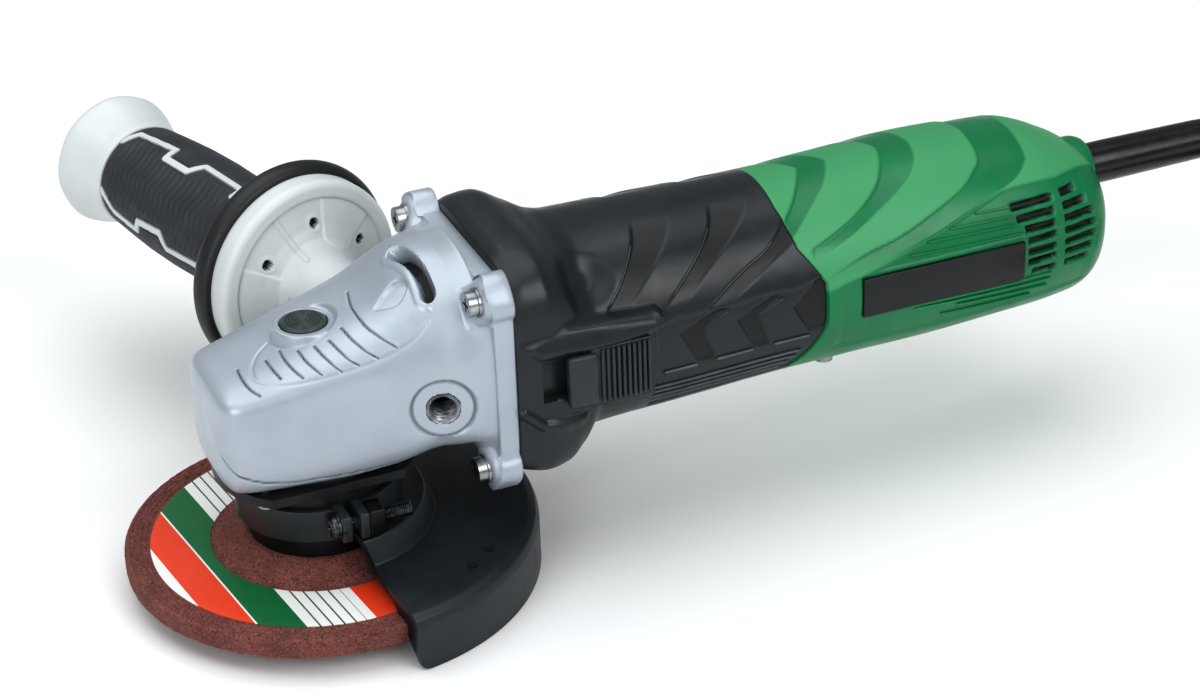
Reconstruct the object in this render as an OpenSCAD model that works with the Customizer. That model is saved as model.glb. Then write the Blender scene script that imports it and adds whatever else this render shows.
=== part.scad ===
// Corded angle grinder for 125 mm depressed-centre wheels: gear head, motor body, side handle,
// adjustable guard, wheel and mains lead. +Z runs up the spindle, +X from the spindle to the
// lead, +Y to the side handle. The origin is the centre of the face that the wheel seats on.

/* [Wheel] */
// Outer diameter of the grinding wheel
wheel_d = 125; // [100:1:150]
// Thickness of the wheel
wheel_t = 6; // [5:0.1:7]
// Depth of the wheel's depressed centre
wheel_step = 4.7; // [3.5:0.1:6]
// Bore of the wheel
wheel_bore_d = 22.2; // [20:0.1:24]
// Diameter of the inner flange that the wheel seats on
flange_d = 45.6; // [40:0.1:48]

/* [Spindle] */
// Diameter of the spindle's thread
spindle_thread_d = 14; // [12:0.1:16]
// Diameter of the spindle in its ball bearing
spindle_d = 12; // [10:0.1:12]
// Outer diameter of the spindle bearing
spindle_bearing_d = 32; // [30:0.1:34]
// Diameter of the spindle's top journal
journal_d = 10; // [9:0.1:11]

/* [Gears] */
// Teeth on the crown gear
crown_teeth = 37; // [36:1:38]
// Teeth on the pinion
pinion_teeth = 11; // [10:1:12]
// Pitch radius of the crown gear at its outer end
crown_pitch_r = 20.5; // [19:0.1:20.8]

/* [Gear head] */
// Height of the motor axis above the wheel seat
motor_z = 52.8; // [50:0.1:64]
// Height of the cover's underside above the wheel seat
cover_z = 26; // [25:0.1:27]
// Reach of the nose in front of the spindle
nose_x = 34; // [33:0.1:38]
// Distance from the spindle to the cover's rear flange
flange_x = 46; // [45:0.1:50]
// Thickness of the rear flange
flange_t = 9; // [8:0.1:10]
// Thread diameter of the side handle holes
side_thread_d = 10; // [8:0.1:12]
// Angle of the side handle towards the nose
handle_tilt = 16; // [0:1:20]

/* [Motor body] */
// Distance from the spindle to the seam with the tail cover, at the top
seam_x = 154; // [152:0.1:156]
// Length of the tail cover behind the seam
tail_l = 127; // [125:1:150]
// Radius of the motor barrel
barrel_r = 34.5; // [34:0.1:40]
// Diameter of the armature core
armature_d = 33; // [31:0.1:33.4]
// Radial air gap round the armature
air_gap = 0.6; // [0.4:0.1:0.8]
// Diameter of the commutator
commutator_d = 22; // [20:0.1:24]

/* [Side handle] */
// Distance from the head to the handle's disc
disc_u = 36; // [30:1:44]
// Diameter of the handle's disc
disc_d = 71.6; // [60:0.1:80]
// Length of the grip
grip_l = 88; // [70:1:110]
// Largest radius of the grip
grip_r = 20.5; // [18:0.1:23]

/* [Guard] */
// Gap between the wheel's rim and the guard's skirt
guard_gap = 5; // [4:0.1:8]
// Thickness of the guard's sheet
guard_t = 2; // [1.5:0.1:2.5]
// Height of the skirt below the wheel seat
skirt_z = 18; // [17.5:0.1:20]
// Angle that the guard covers
guard_angle = 168; // [120:1:175]

/* [Controls] */
// Travel of the slide switch
switch_travel = 6.5; // [5:0.1:7]
// Diameter of the lock button
button_d = 14.4; // [12:0.1:15]
// Travel of the lock button
lock_travel = 4; // [3:0.1:4.2]

/* [Mains lead] */
// Diameter of the lead
cord_d = 7.5; // [6:0.1:8]
// Length of the strain relief outside the tail
armor_l = 63; // [40:1:65]

/* [Hidden] */
$fn = 64;

big = 400;
press = 0.3;
running = 0.05;
wheel_r = wheel_d / 2;
bore_r = wheel_bore_d / 2;
flange_r = flange_d / 2;
flange_h = 6;
thread_r = spindle_thread_d / 2;
spindle_r = spindle_d / 2;
journal_r = journal_d / 2;
floor_z = -skirt_z;

// Heights up the spindle
gland_z = flange_h + 0.8;
bearing_z = 8;
bearing_t = 10;
gland_plate_z = cover_z - 3;
cone_angle = atan(crown_teeth / pinion_teeth);
crown_pitch_z = motor_z - crown_pitch_r / tan(cone_angle);
tooth_face = 0.37;
gear_hub_z = bearing_z + bearing_t + 13;
gear_top_z = motor_z - 4.4;
chamber_z = gear_top_z + 1.6;
journal_top_z = motor_z + 5.2;
button_top_z = motor_z + 19.9;
pocket_z = journal_top_z + 5.5;
button_z = button_top_z - 4.2;
blade_tip_z = journal_top_z + 0.6;
stem_z = journal_top_z + lock_travel + 0.4;
gear_chamber_r = crown_pitch_r + 2.5;
neck_r = 24;
gland_r = 32.5;
gland_half_w = 24.5;
gland_screw_x = 21.5;
gland_screw_y = 17;

// Stations along the motor axis
head_back_x = flange_x + flange_t;
bearing_x = flange_x - 9;
fan_x = head_back_x + 2;
barrel_x = head_back_x + 19;
core_x = head_back_x + 29;
core_l = 47;
coil_l = 8;
commutator_x = core_x + core_l + 12;
rear_bearing_x = commutator_x + 26;
tail_x = seam_x + tail_l;
barrel_bore_r = barrel_r - 3.7;
flat_y = 25.5;
cage_r = barrel_r - 5.9;
pinion_hub_x = crown_pitch_r + 10.5;
shaft_r = 5;
front_bearing_r = 15;
rear_shaft_r = 4;
rear_bearing_r = 11;
rear_race_out_r = rear_bearing_r - 2;
rear_race_in_r = rear_shaft_r + 1.6;
commutator_r = commutator_d / 2;
cord_r = cord_d / 2;
cord_z = motor_z + 10.6;
clip_x = tail_x - 38;
armor_tip_x = tail_x + armor_l;

// Flange screws: half spacing across and up
screw_y = 31.1;
screw_dz = 29.4;

// Side handle holes
hole_x = flange_x - 13.3;
hole_y = 31.7;
hole_dz = -4.3;
hole_depth = 12;
side_r = side_thread_d / 2;

// One station: x, half width, height above and below the motor axis, and the squareness of
// the section above and below that axis.
ring_n = 40;
cover_stations = [
  [-nose_x, 12, 3.5, 22, 3.5, 4],
  [1 - nose_x, 16.5, 6, 25, 3.5, 5],
  [4 - nose_x, 20.5, 8, motor_z - cover_z, 3.5, 7],
  [10 - nose_x, 22.5, 9.5, motor_z - cover_z, 3.5, 8],
  [0, 26, 17, motor_z - cover_z, 3.5, 8],
  [flange_x - 28, 28.8, 24, motor_z - cover_z - 1.5, 3, 7],
  [flange_x - 13, 31.6, 34, motor_z - cover_z - 5, 2.4, 6],
  [flange_x - 8, 34, 36, motor_z - cover_z - 5.5, 2.2, 6],
  [flange_x + 1, 36.5, 37, motor_z - cover_z - 6, 2.2, 6]];
body_stations = [
  [head_back_x, barrel_r + 5, barrel_r + 5.5, barrel_r + 7.5, 4, 4],
  [head_back_x + 11, barrel_r + 5, barrel_r + 5, barrel_r + 7.5, 4, 4],
  [head_back_x + 19, barrel_r + 3, barrel_r + 2.2, barrel_r + 7.3, 3, 4],
  [head_back_x + 25, barrel_r + 1, barrel_r + 0.3, barrel_r + 4.5, 2.3, 3.2],
  [head_back_x + 31, barrel_r + 0.1, barrel_r - 0.2, barrel_r + 0.5, 2.1, 2.2],
  [head_back_x + 55, barrel_r, barrel_r - 0.5, barrel_r + 0.3, 2.05, 2.05],
  [seam_x, barrel_r - 1.1, barrel_r - 1.2, barrel_r - 0.9, 2, 2],
  [seam_x + 23, barrel_r - 0.4, barrel_r - 0.4, barrel_r - 1.4, 2, 2],
  [seam_x + 53, barrel_r - 0.5, barrel_r + 0.3, barrel_r - 2.2, 2.1, 2.1],
  [tail_x - 45, barrel_r - 1.4, barrel_r - 0.9, barrel_r - 3.4, 2.1, 2.1],
  [tail_x - 27, barrel_r - 3, barrel_r - 3.5, barrel_r - 4.3, 2.1, 2.1],
  [tail_x - 15, barrel_r - 7, barrel_r - 7.5, barrel_r - 7.5, 2.1, 2.1],
  [tail_x - 7, barrel_r - 14, barrel_r - 14, barrel_r - 15.5, 2.1, 2.1],
  [tail_x, 11, 13, 9, 2.1, 2.1]];
// The seam is a chevron on each side: x and height from the motor axis
seam_points = [[seam_x - 1, 60], [seam_x - 1, 30], [seam_x + 1, 20], [seam_x + 9, 8], [seam_x + 9, -7],
  [seam_x + 3, -22], [seam_x - 1, -30], [seam_x - 1, -60]];

// The lead: from inside the tail, out of the strain relief, down to the floor and to the coil
coil_x = 416;
coil_y = -52.5;
coil_mid_r = 41.25;
coil_turns_wide = 4;
coil_layers = 2;
lead_points = [[226, 0, 63.4], [250, 0, 63.4], [270, 0, 63.4], [290, 0, 63.4], [310, 0, 63.4],
  [330, 0, 63.4], [345, 0, 63.4], [352, 0, 63.4], [362, 0, 61.8], [371, 0, 57.3], [378, 0, 50.2],
  [382.4, 0, 41.3], [384, 0, 31.4], [384, 0, 17.8], [385.6, 0, 7.9], [390, 0, -1], [397, 0, -8],
  [406, 0, -12.6], [412, 0, -14]];
plug_lead_points = [[444, -5, -9.5], [457, -11, -11.5], [468.5, -22.5, -13.5], [475.5, -42, -14.2],
  [475.5, -63, -14.2], [468.5, -83, -14.2], [455, -99, -14.2], [437, -109.5, -14], [416, -113, -12],
  [398, -113, -8.5], [384, -113, -6]];
plug_x = 376;
plug_y = -113;
plug_z = -5.5;
plug_l = 44;
plug_w = 37;
plug_h = 24;

// ---- Helpers ----

// Points of one section, from its station
function section_points(s) = [for (i = [0 : ring_n - 1])
  let (a = 360 * (i + 0.5) / ring_n, above = sin(a) > 0, n = above ? s[4] : s[5], h = above ? s[2] : s[3])
  [s[0], s[1] * sign(cos(a)) * pow(abs(cos(a)), 2 / n), h * sign(sin(a)) * pow(abs(sin(a)), 2 / n)]];
// A closed shell through rings of n points each
module loft(rings, n) {
  last = len(rings) - 1;
  points = [for (ring = rings) each ring];
  sides = [for (k = [0 : last - 1], i = [0 : n - 1])
    let (j = (i + 1) % n, a = k * n + i, b = (k + 1) * n + i, c = (k + 1) * n + j, d = k * n + j)
    each [[a, b, c], [a, c, d]]];
  start_cap = [for (i = [0 : n - 1]) i];
  end_cap = [for (i = [n - 1 : -1 : 0]) last * n + i];
  polyhedron(points = points, faces = concat([start_cap], sides, [end_cap]));
}
// A skin through stations, standing on the motor axis
module skin(stations) translate([0, 0, motor_z]) loft([for (s = stations) section_points(s)], ring_n);

function unit(v) = v / norm(v);
function tangent(p, i) = unit(p[min(i + 1, len(p) - 1)] - p[max(i - 1, 0)]);
// A round tube swept along points that never run straight along the reference direction
module tube(p, r, sides, up) {
  loft([for (i = [0 : len(p) - 1])
    let (t = tangent(p, i), side = unit(cross(up, t)), top = cross(t, side))
    [for (k = [0 : sides - 1]) let (a = 360 * k / sides) p[i] + r * cos(a) * side + r * sin(a) * top]], sides);
}
// Points of a helix about Z
function helix(r, h, turns, per_turn) = [for (i = [0 : turns * per_turn])
  [r * cos(360 * i / per_turn), r * sin(360 * i / per_turn), h * i / (turns * per_turn)]];

// Local z along +X from x0 on the motor axis, local x along +Y
module along_x(x0) translate([x0, 0, motor_z]) rotate([90, 0, 90]) children();
module x_rod(x0, x1, r) along_x(x0) cylinder(h = x1 - x0, r = r);
module x_tube(x0, x1, r_out, r_in) along_x(x0) difference() {
  cylinder(h = x1 - x0, r = r_out);
  translate([0, 0, -1]) cylinder(h = x1 - x0 + 2, r = r_in);
}
module z_rod(z0, z1, r) translate([0, 0, z0]) cylinder(h = z1 - z0, r = r);
module z_tube(z0, z1, r_out, r_in) difference() {
  z_rod(z0, z1, r_out);
  z_rod(z0 - 1, z1 + 1, r_in);
}
// A box from one corner to the other
module block(low, high) translate(low) cube(high - low);
// Local z out of a side handle hole; side is 1 for +Y and -1 for -Y
module at_side_hole(side) translate([hole_x, side * hole_y, motor_z + hole_dz])
  rotate([0, 0, side * handle_tilt]) rotate([-90 * side, 0, 0]) children();
module at_flange_screws() for (y = [-1, 1], z = [-1, 1])
  along_x(0) translate([y * screw_y, z * screw_dz, 0]) children();
module at_gland_screws() for (x = [-1, 1], y = [-1, 1])
  translate([x * gland_screw_x, y * gland_screw_y, 0]) children();
// A plate with round corners, across the motor axis
module round_plate(half_w, half_h, corner_r, t) linear_extrude(height = t) union() {
  square([2 * (half_w - corner_r), 2 * half_h], center = true);
  square([2 * half_w, 2 * (half_h - corner_r)], center = true);
  for (x = [-1, 1], y = [-1, 1])
    translate([x * (half_w - corner_r), y * (half_h - corner_r)]) circle(r = corner_r);
}
// A pan head screw with a cross recess, head up from z = 0, shank down
module pan_screw(head_r, head_h, shank_r, shank_l) {
  difference() {
    cylinder(h = head_h, r = head_r);
    for (a = [0, 90]) rotate([0, 0, a])
      translate([-head_r * 0.55, -head_r * 0.12, head_h * 0.4]) cube([head_r * 1.1, head_r * 0.24, head_h]);
  }
  translate([0, 0, -shank_l]) cylinder(h = shank_l + 0.01, r = shank_r);
}
// Balls of a bearing, in its middle plane
module balls(pitch_r, ball_r, count) for (i = [0 : count - 1])
  rotate([0, 0, 360 * i / count]) translate([pitch_r, 0, 0]) sphere(r = ball_r, $fn = 24);

// ---- Bevel gears: apex at the origin, gear below it ----

module_size = 2 * crown_pitch_r / crown_teeth;
addendum = 0.68 * module_size;
dedendum = 0.95 * module_size;
inner_scale = 1 - tooth_face;
function tooth_end(pitch_r, cone, half_w, k) =
  let (s = sin(cone), c = cos(cone), z = -pitch_r / tan(cone), flank = tan(20), deep = dedendum + 0.5,
    top = [pitch_r + addendum * c, z + addendum * s], low = [pitch_r - deep * c, z - deep * s],
    w_top = half_w - addendum * flank, w_low = half_w + deep * flank)
  [[k * top[0], k * w_top, k * top[1]], [k * top[0], -k * w_top, k * top[1]],
   [k * low[0], -k * w_low, k * low[1]], [k * low[0], k * w_low, k * low[1]]];
module bevel_teeth(pitch_r, cone, teeth, half_w, first) for (i = [0 : teeth - 1])
  rotate([0, 0, first + 360 * i / teeth])
    polyhedron(points = concat(tooth_end(pitch_r, cone, half_w, 1), tooth_end(pitch_r, cone, half_w, inner_scale)),
      faces = [[3, 2, 1, 0], [4, 5, 6, 7], [1, 5, 4, 0], [2, 6, 5, 1], [3, 7, 6, 2], [0, 4, 7, 3]]);
// The cone that the teeth stand on, as radius and height, at the outer and inner ends
function root_point(pitch_r, cone, k) =
  [k * (pitch_r - dedendum * cos(cone)), k * (-pitch_r / tan(cone) - dedendum * sin(cone))];
tooth_half_w = 0.19 * PI * module_size;

// ---- Head ----

module gear_cover() color("silver") difference() {
  union() {
    skin(cover_stations);
    along_x(flange_x) round_plate(barrel_r + 5.5, barrel_r + 7.5, 10, flange_t);
    for (side = [-1, 1]) at_side_hole(side) translate([0, 0, -14]) cylinder(h = 14, r = 10.5);
    z_rod(motor_z + 10, button_top_z - 1.4, button_d / 2 + 2.8);
  }
  // Room for the crown gear and the pinion
  z_rod(cover_z - 1, chamber_z, gear_chamber_r);
  x_rod(11, bearing_x + 0.01, 9);
  // Bush, lock pin and button
  z_rod(chamber_z - 1, journal_top_z, journal_r + 3);
  z_rod(journal_top_z - 1, pocket_z + 1, 3.2);
  z_rod(pocket_z, motor_z + 40, button_d / 2 + press);
  // Motor bearing and the ring of air behind it
  x_rod(bearing_x, head_back_x + 1, front_bearing_r);
  x_tube(flange_x - 3, head_back_x + 1, 31.5, 20);
  x_rod(flange_x, head_back_x + 1, 31.5);
  // Exhaust slot over the top of the dome
  intersection() {
    x_tube(0, flange_x, 31.5, 27);
    translate([0, 0, motor_z]) rotate([90, 0, 90]) rotate([0, 0, 55]) rotate_extrude(angle = 63)
      square([60, flange_x]);
    block([flange_x - 19, -60, 0], [flange_x, 60, 150]);
  }
  for (side = [-1, 1]) at_side_hole(side) {
    translate([0, 0, -hole_depth]) cylinder(h = hole_depth + 20, r = side_r);
    cylinder(h = 20, r = 10.5);
  }
  at_flange_screws() cylinder(h = big, r = 2.5);
  at_flange_screws() translate([0, 0, flange_x - 12]) cylinder(h = 12, r = 5.2);
  at_gland_screws() z_rod(cover_z - 1, cover_z + 9, 1.8);
}
module gear_cover_washers() color("gainsboro")
  at_flange_screws() translate([0, 0, flange_x - 1]) difference() {
    cylinder(h = 1, r = 4.7);
    translate([0, 0, -1]) cylinder(h = 3, r = 2.5);
  }
module gear_cover_screws() color("gainsboro")
  at_flange_screws() translate([0, 0, flange_x - 1]) mirror([0, 0, 1]) pan_screw(4.1, 3, 2.4, 21);

module packing_gland() color("dimgray") difference() {
  union() {
    z_rod(gland_z, gland_plate_z + 0.01, neck_r);
    intersection() {
      z_rod(gland_plate_z, cover_z, gland_r);
      block([-big, -gland_half_w, 0], [big, gland_half_w, big]);
    }
    z_rod(cover_z - 0.01, cover_z + 3, gear_chamber_r - 0.1);
  }
  z_rod(gland_z - 1, bearing_z + 1, thread_r + 2.6);
  z_rod(bearing_z, cover_z + 4, spindle_bearing_d / 2);
  at_gland_screws() z_rod(0, cover_z + 1, 1.8);
}
module packing_gland_screws() color("gainsboro")
  at_gland_screws() translate([0, 0, gland_plate_z]) mirror([0, 0, 1]) pan_screw(3, 2.4, 1.7, 11);
module spindle_bearing_outer() color("lightsteelblue")
  z_tube(bearing_z, bearing_z + bearing_t, spindle_bearing_d / 2, spindle_bearing_d / 2 - 2.6);
module spindle_bearing_balls() color("lightsteelblue")
  translate([0, 0, bearing_z + bearing_t / 2]) balls(spindle_ball_pitch, spindle_ball_r, 8);
spindle_ball_pitch = (spindle_bearing_d / 2 - 2.6 + spindle_r + 2.6) / 2;
spindle_ball_r = (spindle_bearing_d / 2 - 2.6 - spindle_r - 2.6) / 2 - running;
module spindle_bearing_ring_clip() color("dimgray")
  z_tube(bearing_z + bearing_t, bearing_z + bearing_t + 1.2, spindle_bearing_d / 2, spindle_bearing_d / 2 - 3);
module spindle_bush() color("peru")
  z_tube(chamber_z, journal_top_z, journal_r + 3, journal_r + running);

module front_bearing_outer() color("lightsteelblue")
  x_tube(bearing_x, flange_x, front_bearing_r, front_bearing_r - 2.5);
module front_bearing_balls() color("lightsteelblue")
  along_x(bearing_x + 4.5) balls((front_bearing_r + shaft_r) / 2, (front_bearing_r - shaft_r) / 2 - 2.5 - running, 8);
module front_bearing_plate() color("silver") {
  x_tube(flange_x, flange_x + 1.6, 19.5, shaft_r + 4);
  for (a = [30, 150, 270])
    along_x(flange_x + 1.6) rotate([0, 0, a]) translate([16.9, 0, 0]) cylinder(h = 1.6, r = 2.2);
}

// ---- Motor body ----

module front_of_seam() translate([0, big / 2, motor_z]) rotate([90, 0, 0])
  linear_extrude(height = big) polygon(concat(seam_points, [[0, -60], [0, 60]]));
module behind_seam() translate([0, big / 2, motor_z]) rotate([90, 0, 0])
  linear_extrude(height = big) polygon(concat(seam_points, [[big, -60], [big, 60]]));

// The slide switch rides on a flat pad on the -Y side
pad_y = barrel_r + 4;
pad_x0 = head_back_x + 3;
pad_x1 = head_back_x + 46;
slot_x0 = head_back_x + 9;
slot_x1 = slot_x0 + switch_travel + 20.5;
module motor_housing() color("#22262a") difference() {
  union() {
    intersection() {
      skin(body_stations);
      front_of_seam();
    }
    block([pad_x0, -pad_y, motor_z - 13], [pad_x1, 0, motor_z + 13]);
    hull() {
      block([pad_x0 - 2, -pad_y - 1.5, motor_z + 11], [pad_x0 + 30, -20, motor_z + 16]);
      block([pad_x1 - 2, -pad_y + 3, motor_z + 12], [pad_x1, -20, motor_z + 15]);
    }
    // Cage that holds the rear bearing, inside the tail cover
    x_rod(seam_x - 12, rear_bearing_x + 9, cage_r);
  }
  x_rod(head_back_x - 1, barrel_x, barrel_r);
  x_rod(barrel_x - 0.01, seam_x - 12, barrel_bore_r);
  x_rod(seam_x - 13, rear_bearing_x - 1, cage_r - 2.8);
  x_rod(rear_bearing_x - 2, rear_bearing_x + 7, rear_bearing_r + 1.2);
  x_rod(rear_bearing_x, rear_bearing_x + 10, rear_shaft_r + 1.5);
  for (a = [45 : 90 : 315]) along_x(rear_bearing_x - 2) rotate([0, 0, a])
    translate([19, 0, 0]) cylinder(h = 14, r = 4);
  // Flat bed that the switch slider's knob runs on
  block([slot_x0 - 1, -big, motor_z - 12], [pad_x1, -pad_y, motor_z + 10.5]);
  // Slot for the switch slider, and its way back to the switch
  block([slot_x0, -big, motor_z - 6.5], [slot_x1, -barrel_r + 8, motor_z + 6.5]);
  block([seam_x - 14, -cage_r - 0.6, motor_z - 5.2], [seam_x - 1, -24.8, motor_z + 5.2]);
  block([seam_x - 2, -big, motor_z - 5.2], [rear_bearing_x + 10, -24.8, motor_z + 5.2]);
  at_flange_screws() cylinder(h = head_back_x + 11, r = 2.4);
  for (y = [-1, 1]) translate([rear_bearing_x + 3, y * 12, 0]) z_rod(0, motor_z - 20, 1.5);
}
module fan_guide() color("#2b2f33") x_tube(barrel_x - 3.5, barrel_x, barrel_r, 21);
module with_flats(y) intersection() {
  children();
  block([-big, -y, -big], [big, y, big]);
}
stator_bore_r = armature_d / 2 + air_gap;
module stator_core() color("slategray") with_flats(flat_y)
  x_tube(core_x, core_x + core_l, barrel_bore_r, stator_bore_r);
module stator_coils() color("peru") for (x = [core_x - coil_l, core_x + core_l], side = [-1, 1])
  with_flats(23) intersection() {
    x_tube(x, x + coil_l, barrel_bore_r - 2.5, stator_bore_r + 2);
    translate([0, 0, motor_z + side * 108]) cube([big, 100, 200], center = true);
  }
module stator_screws() color("gainsboro") for (side = [-1, 1])
  along_x(core_x - 1.6) translate([side * (flat_y - 1.3), side * 14, 0]) difference() {
    cylinder(h = 1.6, r = 1.2);
    translate([-1, -0.2, -1]) cube([2, 0.4, 1.6]);
  }
holder_top = cage_r - 3.6;
module at_brushes() for (side = [-1, 1])
  translate([commutator_x + 7.5, 0, motor_z]) rotate([side > 0 ? 0 : 180, 0, 0]) children();
module brush_holders() color("goldenrod") at_brushes() difference() {
  translate([-5.5, -4.5, commutator_r + 1.2]) cube([11, 9, holder_top - commutator_r - 1.2]);
  translate([-4, -3.2, 0]) cube([8, 6.4, holder_top - 0.6]);
}
module carbon_brushes() color("#2c2c2c") at_brushes()
  translate([-3.95, -3.15, commutator_r + running]) cube([7.9, 6.3, 7]);
spring_gap = holder_top - 0.6 - commutator_r - running - 7;
module brush_springs() color("gainsboro") at_brushes()
  translate([0, 0, commutator_r + running + 7 + 0.4]) tube(helix(2.3, spring_gap - 0.8, 4, 10), 0.35, 6, [0, 0, 1]);
module rear_bearing_outer() color("lightsteelblue")
  x_tube(rear_bearing_x - 1, rear_bearing_x + 6, rear_bearing_r, rear_race_out_r);
module rear_bearing_balls() color("lightsteelblue") along_x(rear_bearing_x + 2.5)
  balls((rear_race_out_r + rear_race_in_r) / 2, (rear_race_out_r - rear_race_in_r) / 2 - running, 7);
module rear_bearing_sleeve() color("#333333")
  x_tube(rear_bearing_x - 1, rear_bearing_x + 7, rear_bearing_r + 1.2, rear_bearing_r);

shelf_z = cord_z - cord_r;
plate_half_w = 7;
plate_x0 = seam_x + 21.5;
plate_x1 = tail_x - 46.5;
plate_y = barrel_r - 1.6;
module tail_cover() color("seagreen") difference() {
  union() {
    difference() {
      union() {
        intersection() {
          skin(body_stations);
          behind_seam();
        }
        translate([tail_x - 12, 0, cord_z]) rotate([0, 90, 0]) cylinder(h = 12, r = cord_r + 6);
      }
      x_rod(seam_x - 10, tail_x - 36, cage_r + 0.2);
      translate([tail_x - 36.01, 0, motor_z]) rotate([0, 90, 0]) cylinder(h = 17, r1 = cage_r + 0.2, r2 = 20);
    }
    // Shelf that the lead is clamped on
    intersection() {
      x_rod(clip_x - 6, clip_x + 6, cage_r + 1);
      block([clip_x - 6, -big, shelf_z - 6], [clip_x + 6, big, shelf_z]);
    }
  }
  translate([tail_x - 30, 0, cord_z]) rotate([0, 90, 0]) cylinder(h = 40, r = cord_r + 3.4);
  for (y = [-1, 1]) translate([clip_x, y * 9, 0]) z_rod(shelf_z - 8, shelf_z + 1, 1.5);
  for (y = [-1, 1]) translate([rear_bearing_x + 3, y * 12, 0]) {
    z_rod(0, motor_z, 1.7);
    z_rod(0, motor_z - cage_r - 1.2, 3.4);
  }
  // Nameplate beds and air inlets on both sides
  for (side = [-1, 1]) scale([1, side, 1]) {
    block([plate_x0, plate_y, motor_z - plate_half_w], [plate_x1, plate_y + 10, motor_z + plate_half_w]);
    for (i = [0 : 6])
      block([tail_x - 47 + i, 18, motor_z + 16.5 - i * 3.9], [tail_x - 24 + i * 0.7, 60, motor_z + 18.5 - i * 3.9]);
  }
}
module tail_cover_screws() color("gainsboro") for (y = [-1, 1])
  translate([rear_bearing_x + 3, y * 12, motor_z - cage_r - 1.2]) mirror([0, 0, 1]) pan_screw(3.1, 2, 1.5, 7);
module nameplates() color("#101010") for (side = [-1, 1]) scale([1, side, 1])
  block([plate_x0, plate_y, motor_z - plate_half_w], [plate_x1, plate_y + 1, motor_z + plate_half_w]);

module switch_body() color("#3a3a3c") difference() {
  block([rear_bearing_x + 13, -23.8, motor_z - 11], [rear_bearing_x + 45, 4, motor_z + 3]);
  block([rear_bearing_x + 14, -30, motor_z - 4.4], [rear_bearing_x + 32, -20, motor_z + 4]);
}
module noise_capacitor() color("goldenrod")
  block([rear_bearing_x + 15, 8, motor_z - 9], [rear_bearing_x + 34, 18, motor_z + 4]);
module cord_clip() color("#2b2f33") difference() {
  block([clip_x - 4.5, -14, shelf_z], [clip_x + 4.5, 14, cord_z + cord_r + 2.5]);
  block([clip_x - 5, -cord_r, shelf_z - 1], [clip_x + 5, cord_r, cord_z]);
  translate([clip_x - 5, 0, cord_z]) rotate([0, 90, 0]) cylinder(h = 10, r = cord_r);
  for (y = [-1, 1]) translate([clip_x, y * 9, 0]) z_rod(shelf_z - 1, big, 1.7);
}
module cord_clip_screws() color("gainsboro") for (y = [-1, 1])
  translate([clip_x, y * 9, cord_z + cord_r + 2.5]) pan_screw(3, 2, 1.5, 13);

// ---- Mains lead ----

module cord_armor() color("#1c1c1e") translate([0, 0, cord_z]) rotate([0, 90, 0]) rotate_extrude() polygon([
  [cord_r + 0.05, tail_x - 29], [cord_r + 5.6, tail_x - 29], [cord_r + 5.6, tail_x - 26],
  [cord_r + 3.3, tail_x - 26], [cord_r + 3.3, tail_x + 4], [cord_r + 2.9, tail_x + 38],
  [cord_r + 1.6, armor_tip_x], [cord_r + 0.05, armor_tip_x]]);
module power_cord() color("#141416") tube(lead_points, cord_r, 12, [0, 1, 0]);
module power_cord_coil() color("#141416") translate([coil_x, coil_y, floor_z]) rotate_extrude()
  translate([coil_mid_r - coil_turns_wide * cord_r, 0])
    square([coil_turns_wide * 2 * cord_r, coil_layers * 2 * cord_r]);
module power_cord_end() color("#141416") tube(plug_lead_points, cord_r, 12, [0, 0, 1]);
module plug_body() color("#1c1c1e") translate([plug_x, plug_y, plug_z]) rotate([0, -90, 0]) {
  translate([0, 0, -22]) cylinder(h = 22.01, r1 = cord_r + 1.2, r2 = cord_r + 4.5);
  intersection() {
    linear_extrude(height = plug_l) union() {
      square([plug_h, plug_w - plug_h], center = true);
      for (y = [-1, 1]) translate([0, y * (plug_w - plug_h) / 2]) circle(r = plug_h / 2);
    }
    cylinder(h = plug_l, r1 = plug_w / 2 - 4, r2 = plug_w / 2 + 3);
  }
}
module plug_pins() color("gainsboro") for (y = [-1, 1])
  translate([plug_x - plug_l, plug_y + y * 9.5, plug_z]) rotate([0, -90, 0]) cylinder(h = 19, r = 2.4);

// ---- Side handle, along its own axis from the face of the hole ----

disc_t = 8;
damper_u = disc_u + disc_t;
grip_u = damper_u + 6;
cap_u = grip_u + grip_l;
disc_r = disc_d / 2;
stud_r = side_r - 0.06;
core_r = 12;
module on_handle() at_side_hole(1) children();
// The screws that hold the disc to the grip, 4 mm in front of the disc's rim
module at_disc_screws() for (k = [0 : 5])
  rotate([0, 0, 35 + 60 * k]) translate([21, 0, disc_u - 4]) children();
module handle_stud() color("gainsboro") on_handle() translate([0, 0, 0.6 - hole_depth])
  cylinder(h = hole_depth + grip_u + 20, r = stud_r);
module handle_disc() color("gainsboro") on_handle() difference() {
  rotate_extrude() polygon([[stud_r, 0.5], [10, 0.5], [11.5, disc_u - 16], [17, disc_u - 4], [22, disc_u - 1],
    [disc_r - 4, disc_u + 1], [disc_r - 2, disc_u - 1], [disc_r, disc_u + 0.5], [disc_r, damper_u],
    [stud_r, damper_u]]);
  at_disc_screws() cylinder(h = 20, r = 1.6);
}
module handle_disc_screws() color("#2a2a2a") on_handle() at_disc_screws()
  translate([0, 0, 6]) cylinder(h = disc_t - 2, r = 1.6);
module handle_damper() color("#1a1a1a") on_handle() difference() {
  union() {
    translate([0, 0, damper_u]) cylinder(h = 6, r = disc_r - 1.5);
    translate([0, 0, damper_u + 3]) rotate_extrude() translate([disc_r - 1.5, 0]) circle(r = 3, $fn = 32);
  }
  translate([0, 0, damper_u - 1]) cylinder(h = 8, r = stud_r);
}
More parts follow.
